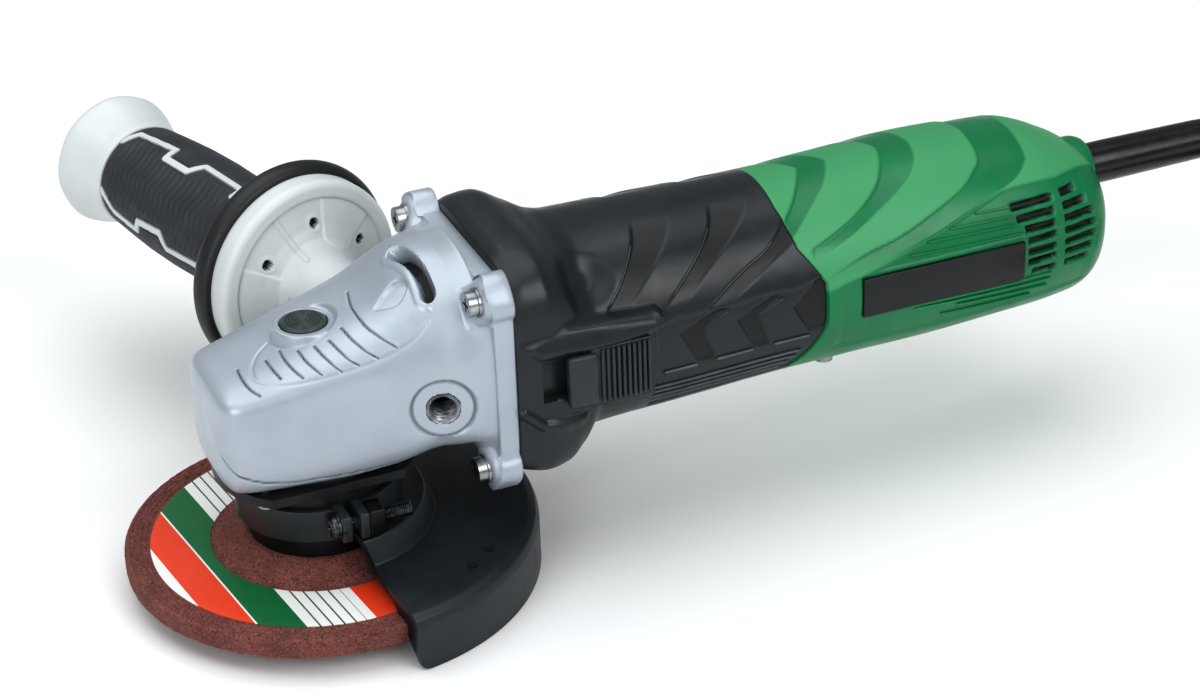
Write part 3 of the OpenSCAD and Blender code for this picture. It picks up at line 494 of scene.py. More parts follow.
def line_distance(x: np.ndarray, y: np.ndarray, points: Sequence[tuple[float, float]]) -> np.ndarray:
    """Return the distance from each place to a line of straight runs.

    Args:
        x: first coordinates of the places.
        y: second coordinates of the places.
        points: the line's corners.

    Returns:
        The distances.
    """
    best = np.full(np.shape(x), 1e9)
    for (ax, ay), (bx, by) in zip(points[:-1], points[1:]):
        dx, dy = bx - ax, by - ay
        t = np.clip(((x - ax) * dx + (y - ay) * dy) / max(dx * dx + dy * dy, 1e-9), 0, 1)
        best = np.minimum(best, np.hypot(x - ax - t * dx, y - ay - t * dy))
    return best


def near(p: np.ndarray, line: np.ndarray) -> np.ndarray:
    """Return the distance in space from each point to a line of straight runs.

    Args:
        p: the points.
        line: the line's corners.

    Returns:
        The distances.
    """
    best = np.full(p.shape[:-1], 1e9)
    for a, b in zip(line[:-1], line[1:]):
        run = b - a
        t = np.clip(((p - a) @ run) / max(float(run @ run), 1e-9), 0, 1)
        best = np.minimum(best, np.linalg.norm(p - a - t[..., None] * run, axis=-1))
    return best


def patch_distance(x: np.ndarray, y: np.ndarray, outline: Sequence[tuple[float, float]]) -> np.ndarray:
    """Return the distance inside a closed outline, negative outside it.

    Args:
        x: first coordinates of the places.
        y: second coordinates of the places.
        outline: the outline's corners.

    Returns:
        The signed distances.
    """
    inside = np.zeros(np.shape(x), bool)
    closed = [*outline, outline[0]]
    for (ax, ay), (bx, by) in zip(closed[:-1], closed[1:]):
        crosses = (ay > y) != (by > y)
        inside ^= crosses & (x < (bx - ax) * (y - ay) / (by - ay if by != ay else 1e-9) + ax)
    return np.where(inside, 1, -1) * line_distance(x, y, closed)


def box_distance(x: np.ndarray, z: np.ndarray, box: Sequence[float]) -> np.ndarray:
    """Return the distance inside a rectangle, negative outside it.

    Args:
        x: places along the motor axis, in mm.
        z: their heights.
        box: the rectangle's first and last x, then its lowest and highest z.

    Returns:
        The signed distance of each place, in mm.
    """
    x0, x1, z0, z1 = box
    return np.minimum(np.minimum(x - x0, x1 - x), np.minimum(z - z0, z1 - z))


def curved(points: Sequence[Sequence[float]], per_run: int) -> np.ndarray:
    """Run a Catmull-Rom curve through points.

    Args:
        points: the points, at least two.
        per_run: places on each run between neighbours.

    Returns:
        The places on the curve, ends included.
    """
    p = np.asarray(points, float)
    p = np.vstack([2 * p[0] - p[1], p, 2 * p[-1] - p[-2]])
    made = []
    for i in range(1, len(p) - 2):
        for t in np.linspace(0, 1, per_run, endpoint=False):
            a, b, c, d = p[i - 1 : i + 3]
            made.append(
                0.5 * (2 * b + (c - a) * t + (2 * a - 5 * b + 4 * c - d) * t**2 + (3 * b - a - 3 * c + d) * t**3)
            )
    return np.array([*made, p[-2]])


def eased(corners: Sequence[tuple[float, float]], radius: float, closed: bool = False) -> np.ndarray:
    """Round the corners of an outline.

    Args:
        corners: the outline's corners.
        radius: how far each corner is cut back, limited by its sides.
        closed: whether the last corner joins the first.

    Returns:
        The rounded outline, with five places to a corner.
    """
    p = np.asarray(corners, float)
    count = len(p)
    made = []
    for i in range(count):
        if not closed and i in (0, count - 1):
            made.append(p[i])
            continue
        before, here, after = p[i - 1], p[i], p[(i + 1) % count]
        back = min(radius, 0.45 * np.linalg.norm(before - here), 0.45 * np.linalg.norm(after - here))
        a = here + (before - here) / max(np.linalg.norm(before - here), 1e-9) * back
        b = here + (after - here) / max(np.linalg.norm(after - here), 1e-9) * back
        for t in np.linspace(0, 1, 5):
            made.append((1 - t) ** 2 * a + 2 * t * (1 - t) * here + t**2 * b)
    return np.array(made)


def refined(line: np.ndarray, step: float) -> np.ndarray:
    """Add places to a line so that none is further than a step from the next.

    Args:
        line: the places.
        step: the longest run to leave.

    Returns:
        The places with the added ones.
    """
    made = [line[0]]
    for a, b in zip(line[:-1], line[1:]):
        parts = max(1, int(math.ceil(np.linalg.norm(b - a) / step)))
        made += [a + (b - a) * k / parts for k in range(1, parts + 1)]
    return np.array(made)


def refined_loop(outline: np.ndarray, step: float) -> np.ndarray:
    """Add places to a closed outline, the run from its last place to its first included."""
    return refined(np.vstack([outline, outline[:1]]), step)[:-1]


def monotone(xs: Sequence[float], ys: Sequence[float], at: np.ndarray) -> np.ndarray:
    """Read a smooth curve through stations that never overshoots them.

    Args:
        xs: the stations' places, rising.
        ys: the values there.
        at: the places to read.

    Returns:
        The values at those places.
    """
    x, y = np.asarray(xs, float), np.asarray(ys, float)
    h, d = np.diff(x), np.diff(y) / np.diff(x)
    m = np.zeros(len(x))
    m[0], m[-1] = d[0], d[-1]
    same = d[:-1] * d[1:] > 0
    w1, w2 = 2 * h[1:] + h[:-1], h[1:] + 2 * h[:-1]
    with np.errstate(divide="ignore", invalid="ignore"):
        m[1:-1] = np.where(same, (w1 + w2) / (w1 / d[:-1] + w2 / d[1:]), 0)
    at = np.clip(at, x[0], x[-1])
    i = np.clip(np.searchsorted(x, at, side="right") - 1, 0, len(h) - 1)
    t = (at - x[i]) / h[i]
    left = (1 + 2 * t) * (1 - t) ** 2 * y[i] + t * (1 - t) ** 2 * h[i] * m[i]
    return left + t * t * (3 - 2 * t) * y[i + 1] + t * t * (t - 1) * h[i] * m[i + 1]


def superellipse(turn: np.ndarray, half: np.ndarray, height: np.ndarray, n: np.ndarray | float) -> np.ndarray:
    """Return the distance from the middle of a superellipse to its edge.

    Args:
        turn: the direction, in radians.
        half: its half width, in mm.
        height: its half height, in mm.
        n: its squareness, 2 for an ellipse.

    Returns:
        The distances, in mm.
    """
    return ((np.abs(np.cos(turn)) / half) ** n + (np.abs(np.sin(turn)) / height) ** n) ** (-1 / n)


@dataclass(frozen=True)
class Hull:
    """A body of smooth sections along the motor axis.

    Each station is x, half width, height above and below the axis, and the squareness of the
    section above and below it.
    """

    stations: tuple[tuple[float, ...], ...]

    def radius(self, x: np.ndarray, turn: np.ndarray) -> np.ndarray:
        """Return the distance from the axis at x, towards a turn from -Y up to +Z in radians.

        Args:
            x: places along the motor axis, in mm.
            turn: turns from -Y up to +Z, in radians.

        Returns:
            The distances, in mm.
        """
        columns = list(zip(*self.stations))
        half, up, down, n_up, n_down = (monotone(columns[0], c, x) for c in columns[1:])
        above = np.sin(turn) > 0
        return superellipse(turn, half, np.where(above, up, down), np.where(above, n_up, n_down))

    def points(self, x: np.ndarray, turn: np.ndarray) -> np.ndarray:
        """Return the points of the surface, in mm."""
        r = self.radius(x, turn)
        return np.stack([x + 0 * r, -r * np.cos(turn), MOTOR_Z + r * np.sin(turn)], -1)


def outward(rings: np.ndarray) -> np.ndarray:
    """Return the unit normals of a skin of rings, pointing away from its middle line.

    Args:
        rings: rows of ring points.

    Returns:
        One unit normal for each point.
    """
    along = np.gradient(rings, axis=0)
    around = np.roll(rings, -1, axis=1) - np.roll(rings, 1, axis=1)
    n = np.cross(along, around)
    n /= np.maximum(np.linalg.norm(n, axis=-1, keepdims=True), 1e-9)
    away = rings - rings.mean(axis=1, keepdims=True)
    return n * np.sign((n * away).sum())


def side_turn(turn: np.ndarray) -> np.ndarray:
    """Return the turn in degrees on whichever side a place is: 0 at the side, 90 on top."""
    degrees = np.degrees(np.arctan2(np.sin(turn), np.cos(turn)))
    return np.where(np.abs(degrees) <= 90, degrees, np.sign(degrees) * 180 - degrees)


def linked(name: str, data: bpy.types.ID) -> Piece:
    """Make an object of some data and put it in the scene.

    Args:
        name: the object's name.
        data: its mesh, curve, lamp or camera.

    Returns:
        The object.
    """
    made = bpy.data.objects.new(name, data)
    bpy.context.scene.collection.objects.link(made)
    return made


def placed(local: np.ndarray, place: Matrix) -> np.ndarray:
    """Move points, in mm, from a place's own axes to the frame of the model."""
    m = np.array(place)
    return local @ m[:3, :3].T + m[:3, 3]


class Maker:
    """Turns arrays in mm into Blender objects in metres."""

    @staticmethod
    def mesh(name: str, points: np.ndarray, faces: list, tone: np.ndarray | None = None, sharp: float = 38) -> Piece:
        """Make a smooth-shaded mesh object.

        Args:
            name: the object's name.
            points: its vertices, in mm.
            faces: vertex numbers of each face.
            tone: a value for each vertex, kept as the attribute "tone".
            sharp: the angle, in degrees, past which an edge is sharp.

        Returns:
            The object.
        """
        data = bpy.data.meshes.new(name)
        data.from_pydata((np.asarray(points) * MM).tolist(), [], faces)
        if tone is not None:
            data.attributes.new("tone", "FLOAT", "POINT").data.foreach_set("value", tone.astype(np.float32))
        data.validate()
        work = bmesh.new()
        work.from_mesh(data)
        if work.calc_volume(signed=True) < 0:
            bmesh.ops.reverse_faces(work, faces=work.faces)
        work.to_mesh(data)
        work.free()
        data.polygons.foreach_set("use_smooth", [True] * len(data.polygons))
        data.set_sharp_from_angle(angle=math.radians(sharp))
        return linked(name, data)

    @classmethod
    def skin(
        cls, name: str, rings: np.ndarray, tone: np.ndarray | None = None, ends: Ends = Ends.CAPPED, sharp: float = 38
    ) -> Piece:
        """Make a closed mesh through rings of points.

        Args:
            name: the object's name.
            rings: rows of ring points, in mm.
            tone: a value for each ring point.
            ends: capped at both ends, or the last ring joined to the first.
            sharp: the angle of a sharp edge, in degrees.

        Returns:
            The object.
        """
        rows, count = rings.shape[:2]
        if tone is None:
            tone = np.zeros((rows, count))
        points, tones = [rings.reshape(-1, 3)], [tone.reshape(-1)]
        j = np.arange(count)
        nxt = (j + 1) % count
        quads = []
        for i in range(rows if ends is Ends.LOOPED else rows - 1):
            a, b = i * count, ((i + 1) % rows) * count
            quads += np.stack([a + j, a + nxt, b + nxt, b + j], 1).tolist()
        total = rows * count
        if ends is Ends.CAPPED:
            for row, flip in ((0, True), (rows - 1, False)):
                middle = rings[row].mean(axis=0)
                last = row * count
                for share in (0.66, 0.33):
                    points.append(middle + (rings[row] - middle) * share)
                    tones.append(tone[row])
                    ring = np.stack([last + j, last + nxt, total + nxt, total + j], 1)
                    quads += (ring[:, ::-1] if flip else ring).tolist()
                    last, total = total, total + count
                points.append(middle[None])
                tones.append(tone[row][:1])
                fan = np.stack([last + j, last + nxt, np.full(count, total)], 1)
                quads += (fan[:, ::-1] if flip else fan).tolist()
                total += 1
        return cls.mesh(name, np.concatenate(points), quads, np.concatenate(tones), sharp)

    @staticmethod
    def turned(profile: np.ndarray, segments: int, place: Matrix, reach: tuple[float, float] = (0, 360)) -> np.ndarray:
        """Turn a profile of (radius, height) about the local z axis of a place.

        Args:
            profile: rows of radius and height, in mm.
            segments: columns round the axis.
            place: where the axis stands, in mm.
            reach: first and last angle, in degrees.

        Returns:
            The rings, one for each row of the profile.
        """
        whole = abs(reach[1] - reach[0]) >= 360
        angles = np.radians(np.linspace(*reach, segments, endpoint=not whole))
        r, h = profile[:, :1], profile[:, 1:2]
        return placed(np.stack([r * np.cos(angles), r * np.sin(angles), h + 0 * angles], -1), place)

    @classmethod
    def lathe(
        cls, name: str, outline: np.ndarray, step: float, segments: int, place: Matrix, ends: Ends = Ends.CAPPED
    ) -> Piece:
        """Turn an outline into a closed mesh.

        Args:
            name: the object's name.
            outline: rows of radius and height, in mm.
            step: the longest run left on the outline, in mm.
            segments: columns round the axis.
            place: where the axis stands, in mm.
            ends: capped, or the outline's last row joined to its first.

        Returns:
            The object.
        """
        return cls.skin(name, cls.turned(refined(outline, step), segments, place), ends=ends)

    @classmethod
    def block(
        cls, name: str, low: Sequence[float], high: Sequence[float], edge: float, segments: int = 3
    ) -> Piece:
        """Make a block with eased edges.

        Args:
            name: the object's name.
            low: its lowest corner, in mm.
            high: its highest corner, in mm.
            edge: how far the edges are cut back, in mm.
            segments: faces across each edge.

        Returns:
            The object.
        """
        work = bmesh.new()
        bmesh.ops.create_cube(work, size=1)
        size = [b - a for a, b in zip(low, high)]
        for v in work.verts:
            v.co = Vector([(v.co[k] + 0.5) * size[k] + low[k] for k in range(3)])
        bmesh.ops.bevel(work, geom=work.edges[:], offset=edge, segments=segments, profile=0.5, affect="EDGES")
        work.verts.ensure_lookup_table()
        points = np.array([v.co for v in work.verts])
        faces = [[v.index for v in f.verts] for f in work.faces]
        work.free()
        return cls.mesh(name, points, faces, np.zeros(len(points)), 30)

    @staticmethod
    def joined(name: str, parts: list[Piece]) -> Piece:
        """Join parts of one piece into one object.

        Args:
            name: the piece's name.
            parts: the parts.

        Returns:
            The piece.
        """
        bpy.ops.object.select_all(action="DESELECT")
        for part in parts:
            part.select_set(True)
        bpy.context.view_layer.objects.active = parts[0]
        bpy.ops.object.join()
        parts[0].name = parts[0].data.name = name
        return parts[0]


def finished(
    piece: Piece, finish: Finish, replaced: Sequence[str] = (), body: Body = Body.ROOT
) -> Piece:
    """Dress a piece, let it ride on its body and report it.

    Args:
        piece: the piece.
        finish: what it is made of.
        replaced: the frame's nodes that it stands for.
        body: the body that it rides on.

    Returns:
        The piece.
    """
    piece.data.materials.clear()
    piece.data.materials.append(finish.material())
    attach(piece, body.value)
    if replaced:
        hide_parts(*replaced)
    LOG.info("%s in %s", piece.name, finish.name)
    return piece


def along_x(x: float, z: float = MOTOR_Z, y: float = 0.0) -> Matrix:
    """Return a place whose local z runs along +X, local x along +Y and local y along +Z."""
    return Matrix(((0, 0, 1, x), (1, 0, 0, y), (0, 1, 0, z), (0, 0, 0, 1)))


def thread(core_r: float, depth: float, pitch: float, low: float, high: float, place: Matrix) -> np.ndarray:
    """Return the rings of a screw thread between two heights along a place's local z.

    Args:
        core_r: the radius at the root.
        depth: how far the crest stands out.
        pitch: the rise of one turn.
        low: the first height.
        high: the last height.
        place: where the axis stands, in mm.

    Returns:
        The rings.
    """
    segments = 36
    angles = np.radians(np.arange(segments) * 360 / segments)
    heights = np.linspace(low, high, max(4, int((high - low) / pitch * 8)))
    phase = (heights[:, None] / pitch + angles[None] / (2 * math.pi)) % 1
    r = core_r + depth * (1 - np.abs(2 * phase - 1))
    return placed(np.stack([r * np.cos(angles), r * np.sin(angles), heights[:, None] + 0 * r], -1), place)


# ---- Gear head ----


@dataclass
class GearHead:
    """The die-cast gear cover with its grooves, holes, exhaust slot and lock button."""

    stations: tuple[tuple[float, ...], ...] = (
        (-34, 12, 3.5, 22, 3.5, 4), (-33, 16.5, 6, 25, 3.5, 5), (-30, 20.5, 8, 26.8, 3.5, 7),
        (-24, 22.5, 9.5, 26.8, 3.5, 8), (0, 26, 17, 26.8, 3.5, 8), (18, 28.8, 24, 25.3, 3, 7),
        (33, 31.6, 34, 21.8, 2.4, 6), (38, 34, 36, 21.3, 2.2, 6), (43, 35.6, 36.6, 21, 2.2, 6),
    )
    step: float = 0.36
    flange: tuple[float, float] = (46.0, 55.0)
    plate: tuple[float, float, float] = (37.8, 33.6, 31.6)
    plate_squareness: float = 7.0
    lug_at: tuple[float, float] = (31.1, 29.4)
    lug_r: float = 7.6
    face_drop: float = 2.4
    hole: tuple[float, float, float] = HANDLE_MOUTH
    hole_tilt: float = HANDLE_TILT
    hole_r: float = 5.0
    hole_depth: float = 12.0
    face_r: float = 10.4
    ring_r: float = 9.7
    ring_depth: float = 0.45
    outline_depth: float = 0.22
    teardrop_depth: float = 2.2
    slot_depth: float = 6.0
    boss_r: float = 10.0
    boss_z: float = 71.3
    pocket_r: float = 7.5
    button_r: float = 7.2
    button_z: tuple[float, float] = (68.5, 72.0)
    stem_z: float = 62.4
    blade_tip_z: float = 58.6
    groove_half: float = 0.24
    groove_depth: float = 0.55
    grooves: tuple[Line, ...] = (
        ((16, 100.4), (14.3, 78.1), (14.7, 54.4), (17.3, 42.4), (21.2, 33.5)),
        ((8.5, 61.7), (9.6, 47.0), (11.9, 37.0), (15.2, 29.9)),
        ((3.6, 54.0), (4.7, 43.0), (6.5, 34.2), (9.2, 28.3)),
        ((-0.9, 53.8), (0.0, 41.9), (1.6, 33.3), (3.8, 26.8)),
        ((-5.5, 56.4), (-5.1, 42.4), (-3.8, 33.8), (-2.1, 27.7)),
        ((-10.0, 69.1), (-10.1, 48.1), (-9.2, 35.7), (-7.6, 28.3)),
        ((-14.9, 62.2), (-14.6, 43.1), (-13.7, 31.7)),
        ((-23.3, 67.9), (-23.7, 42.9), (-23.1, 29.1), (-21.1, 21.7)),
    )
    lip: Line = ((-33.3, -42), (-28.6, -42), (-21, -44), (-9, -44.2), (4.5, -42.5), (18.1, -39.3), (26, -36))
    outline: Line = (
        (-11.8, 95.1), (-15.5, 83.2), (-18.3, 65.4), (-20.1, 47.7), (-20.2, 36.0), (-16.5, 28), (-11.1, 25.3),
        (-4.6, 25.2), (1.9, 25.8), (9.2, 27.2), (15.4, 29.1), (21.6, 32.0), (27, 36), (32, 43),
    )
    teardrop: Line = (
        (18.5, 62.8), (23.7, 71.9), (27.4, 75.2), (29.9, 72.3), (29.9, 67.3), (27.8, 61.8), (25.4, 57.8), (22.1, 59),
    )
    slot: Line = (
        (29.5, 96), (31.5, 100), (34.4, 97), (35.8, 86.1), (36.5, 70.9), (36.6, 60.7), (36.3, 54.8), (33.9, 51.4),
        (32.2, 53.8), (32.6, 61.1), (32.8, 70.0), (32.2, 79.6), (30.8, 88.8),
    )
    arc_r: float = 33.0

    def turns(self) -> np.ndarray:
        """Return the turns of the columns, closest together over the top.

        Returns:
            The turns, in radians.
        """
        parts = (np.linspace(-180, -60, 70), np.linspace(-60, 20, 90), np.linspace(20, 160, 210))
        rest = np.linspace(160, 180, 14, endpoint=False)
        return np.radians(np.concatenate([parts[0][:-1], parts[1][:-1], parts[2][:-1], rest]))

    def flange_radius(self, turn: np.ndarray, inset: float) -> np.ndarray:
        """Return the reach of the flange's outline, a rounded plate with four lugs, from the axis.

        Args:
            turn: turns from -Y up to +Z, in radians.
            inset: how far inside the outline, in mm.

        Returns:
            The reach at each turn, in mm.
        """
        side, up, down = (v - inset for v in self.plate)
        c, s = np.abs(np.cos(turn)), np.abs(np.sin(turn))
        height = np.where(np.sin(turn) > 0, up, down)
        reach = superellipse(turn, side, height, self.plate_squareness)
        y, z = self.lug_at
        z = np.where(np.sin(turn) > 0, z, z - 0.6)
        along = c * y + s * z
        across = np.abs(c * z - s * y)
        r = self.lug_r - inset
        lug = along + np.maximum(r**3 - across**3, 0) ** (1 / 3)
        return np.where(across < r, np.maximum(reach, lug), reach)

    def side_hole(self, side: int) -> tuple[np.ndarray, np.ndarray]:
        """Return the mouth and the outward axis of a side handle hole.

        Args:
            side: -1 for the -Y side, 1 for the +Y side.

        Returns:
            The mouth, in mm, and the unit axis.
        """
        tilt = math.radians(self.hole_tilt)
        mouth = np.array([self.hole[0], side * self.hole[1], self.hole[2]])
        return mouth, np.array([-math.sin(tilt), side * math.cos(tilt), 0.0])

    def rings(self) -> tuple[np.ndarray, np.ndarray]:
        """Return the cover's rings before its small detail, and their turns.

        Returns:
            The rings, and the turn of each column.
        """
        turn = self.turns()
        hull = Hull(self.stations)
        rows = [hull.points(np.full_like(turn, x), turn) for x in np.arange(self.stations[0][0], 42.01, self.step)]
        dome = hull.radius(np.full_like(turn, 42.0), turn)
        front, back = self.flange
        whole = self.flange_radius(turn, 0.0)
        for share in np.linspace(0.04, 0.98, 24):
            r = dome + (np.maximum(whole - 0.7, dome + 0.3) - dome) * share
            face = front + self.face_drop * smooth(self.lug_distance(r, turn) + 0.6, 2.4)
            rows.append(self.ring(face - (face - 42) * (1 - share) ** 3, r, turn))
        face = front + self.face_drop * smooth(self.lug_distance(whole, turn) - 0.6, 2.4)
        for step, inset in ((0.1, 0.4), (0.4, 0.12), (0.9, 0)):
            rows.append(self.ring(face + step, whole - inset, turn))
        for x, inset in ((back - 3, 0), (back - 0.6, 0), (back - 0.1, 0.3)):
            rows.append(self.ring(x, whole - inset, turn))
        return np.array(rows), turn

    def lug_distance(self, r: np.ndarray, turn: np.ndarray) -> np.ndarray:
        """Return how far outside the nearest lug the places at a distance and turn lie, in mm."""
        y, z = np.abs(r * np.cos(turn)), np.abs(r * np.sin(turn))
        return np.hypot(y - self.lug_at[0], z - self.lug_at[1]) - self.lug_r

    @staticmethod
    def ring(x: float | np.ndarray, r: np.ndarray, turn: np.ndarray) -> np.ndarray:
        """Return one ring across the motor axis."""
        return np.stack([x + 0 * turn, -r * np.cos(turn), MOTOR_Z + r * np.sin(turn)], -1)

    def on_hull(self, line: Sequence[tuple[float, float]]) -> np.ndarray:
        """Return a curve over the hull through places given as x and turn in degrees."""
        places = curved(line, 8)
        return Hull(self.stations).points(places[:, 0], np.radians(places[:, 1]))

    def detail(self, p: np.ndarray, turn: np.ndarray) -> tuple[np.ndarray, np.ndarray]:
        """Cut and raise the cover's small detail.

        Args:
            p: the rings.
            turn: the turn of each column.

        Returns:
            The changed rings and their tone, which paints shade in the grooves, rings and openings.
        """
        normal = outward(p)
        x, y = p[..., 0].copy(), p[..., 1].copy()
        mirrored = np.where(y[..., None] < 0, p, p * np.array([1, -1, 1]))
        # dark marks the grooves and the lip, where the second colour is painted shade.
        cut, dark = np.zeros_like(x), np.zeros_like(x)
        for line in (*self.grooves, self.lip):
            away = near(mirrored if line is self.lip else p, self.on_hull(line))
            share = smooth(self.groove_half - away, 0.42)
            cut += self.groove_depth * share
            dark = np.maximum(dark, share)
        rim = near(p, self.on_hull(self.outline))
        cut += self.outline_depth * smooth(0.5 - rim, 0.8)
        scale = math.radians(self.arc_r)
        arc = np.degrees(turn)[None] * scale + 0 * x
        drop = eased([(a, b * scale) for a, b in self.teardrop], 2.0, True)
        inside = patch_distance(x, arc, drop.tolist())
        cut += smooth(inside, 0.8) * np.clip((x - 17.5) / 12, 0, 1) * self.teardrop_depth
        p = p - normal * cut[..., None]
        opening = eased([(a, b * scale) for a, b in self.slot], 3.0, True)
        inside = patch_distance(x, arc, opening.tolist())
        p = p - normal * (smooth(inside, 0.6) * self.slot_depth)[..., None]
        # Painted shade: the exhaust slot takes the opening colour, the grooves the second colour.
        tone = np.where(inside > 0.1, -smooth(inside - 0.3, 0.4), dark)
        rim = smooth(1.1 - np.abs(inside + 1.3), 1.2) * smooth(33.5 - x, 2.0)
        p = p + normal * (rim * 0.5)[..., None]
        top = smooth(side_turn(turn)[None] - 12, 6) * smooth(42 - x, 2)
        away = np.hypot(x, y)
        seat = smooth(self.boss_r - away, 0.9) * (top > 0.5)
        p[..., 2] += seat * (self.boss_z - p[..., 2])
        pocket = smooth(self.pocket_r - away, 0.5) * (top > 0.5)
        p[..., 2] += pocket * (self.button_z[0] - p[..., 2])
        for side in (-1, 1):
            mouth, axis = self.side_hole(side)
            rel = p - mouth
            w = rel @ axis
            d = np.linalg.norm(rel - w[..., None] * axis, axis=-1)
            close = (side * p[..., 1] > 5) & (w > -14)
            face = smooth(self.face_r - d, 0.8) * close
            ring = self.ring_depth * smooth(0.4 - np.abs(d - self.ring_r), 0.5) * close
            bore = smooth(self.hole_r + 0.15 - d, 0.3) * close
            p = p + axis * (-face * w - ring - bore * self.hole_depth)[..., None]
            # Painted shade down each bore and in the ring round its mouth.
            tone = np.where((d < self.hole_r - 0.2) & close, -1.0, np.where(ring > 0.05, 1.6 * ring, tone))
        return p, tone

    def build(self) -> None:
        """Build and dress the gear head's pieces."""
        plain, turn = self.rings()
        rings, tone = self.detail(plain, turn)
        cover = Maker.skin("gear_cover_casting", rings, tone, sharp=SHARP_SHELL)
        finished(cover, SILVER_CASTING, ["gear_cover"])
        for side, name in ((-1, "side_hole_thread_near"), (1, "side_hole_thread_far")):
            mouth, axis = self.side_hole(side)
            z = Vector(axis)
            place = Matrix.Translation(Vector(mouth)) @ z.to_track_quat("Z", "Y").to_matrix().to_4x4()
            depth = self.hole_depth if side < 0 else 2.0
            inner = thread(self.hole_r - 1.0, 0.95, 2.0, -depth + 0.5, -0.3, place)
            wall = np.array([[self.hole_r + 0.25, 0.05], [self.hole_r + 0.25, -depth + 0.5]])
            outer = Maker.turned(wall, 36, place)
            piece = Maker.skin(name, np.concatenate([inner, outer]), ends=Ends.LOOPED)
            finished(piece, RUBBED_THREAD)
        self.button()

    def button(self) -> None:
        """Build the spindle lock button with its moulded rings."""
        r, low, high = self.button_r, self.button_z[0] + 0.2, self.button_z[1]
        outline = [(0.01, low - 0.2), (r - 0.3, low - 0.2), (r, low + 0.2), (r, high - 0.7), (r - 0.7, high)]
        outline += [(6, high)]
        for groove in (5.4, 4.4, 3.4, 2.4):
            outline += [(groove + 0.3, high), (groove + 0.12, high - 0.35), (groove - 0.12, high - 0.35)]
            outline += [(groove - 0.3, high)]
        outline += [(1.2, high), (0.9, high - 0.5), (0.01, high - 0.6)]
        foot, head = self.stem_z, self.button_z[0] + 0.1
        stem = eased([(0.01, foot), (3, foot), (3, head), (0.01, head)], 0.3)
        parts = [Maker.lathe("cap", np.array(outline), 0.5, 64, UPRIGHT), Maker.lathe("stem", stem, 1, 48, UPRIGHT)]
        parts.append(Maker.block("blade", (-2.8, -1.05, self.blade_tip_z), (2.8, 1.05, self.stem_z + 0.2), 0.2))
        piece = Maker.joined("lock_button_cap", parts)
        finished(piece, BUTTON_PLASTIC, ["lock_button"], Body.LOCK)


# ---- Motor body ----


BODY_STATIONS = (
    (55, 38.4, 36.4, 35, 4.5, 5), (60, 38.8, 38.6, 37.5, 4.2, 4.5), (66, 39, 39.3, 39.2, 4, 4.5),
    (74, 37.5, 36.7, 39.6, 3, 4), (80, 35.5, 34.8, 37.5, 2.3, 3.2), (86, 34.6, 34.3, 35, 2.1, 2.2),
    (110, 34.5, 34, 34.8, 2.05, 2.05),
    (154, 33.4, 33.3, 33.6, 2, 2), (177, 34.1, 34.1, 33.1, 2, 2), (207, 34, 34.8, 32.3, 2.1, 2.1),
    (236, 33.1, 33.6, 31.1, 2.1, 2.1), (246, 32.4, 32.2, 30.8, 2.1, 2.1), (254, 31.5, 29.3, 30.2, 2.1, 2.1),
    (261, 30, 25.4, 28.8, 2.2, 2.2), (267, 26.8, 21.8, 25.8, 2.3, 2.3), (271.5, 21.5, 18, 20.2, 2.3, 2.3),
    (274, 13, 13, 12, 2.2, 2.2),
)
SEAM_TURNS = (-90, -52, -38, -12, 14, 36, 63, 90)
SEAM_X = (153, 153, 157, 163.4, 163.4, 155.5, 153, 153)
MM_PER_DEGREE = 0.6


def unrolled(line: Sequence[tuple[float, float]]) -> list[tuple[float, float]]:
    """Return places given as x and side turn with the turn laid out in mm."""
    return [(a, b * MM_PER_DEGREE) for a, b in line]


def column_turns(columns: int) -> np.ndarray:
    """Return the turns of evenly spaced columns round the barrel, in radians."""
    return np.radians(np.linspace(-180, 180, columns, endpoint=False))


def seam_line(columns: int) -> np.ndarray:
    """Return the seam's x at each column, a chevron on each side, as one row."""
    return np.interp(side_turn(column_turns(columns)), SEAM_TURNS, SEAM_X)[None]


def barrel_rows(
    rows: int, columns: int, start: np.ndarray | float, end: np.ndarray | float
) -> tuple[np.ndarray, np.ndarray]:
    """Lay rows of points over the barrel between two edges.

    Args:
        rows: how many rows.
        columns: how many points to a row.
        start: x of the first row, one value or one for each column.
        end: x of the last row.

    Returns:
        The rings and the turn of each column, in radians.
    """
    turn = column_turns(columns)
    x = start + np.linspace(0, 1, rows)[:, None] * (end - start)
    return Hull(BODY_STATIONS).points(x, turn[None] + 0 * x), turn


def tucked(row: np.ndarray, shift: float) -> np.ndarray:
    """Return one more ring just inside a row and a little along the axis.

    Args:
        row: the row.
        shift: how far along the axis, in mm.

    Returns:
        The ring, as a row of its own.
    """
    middle = row.mean(axis=0)
    inner = middle + (row - middle) * 0.992
    inner[:, 0] = row[:, 0] + shift
    return inner[None]


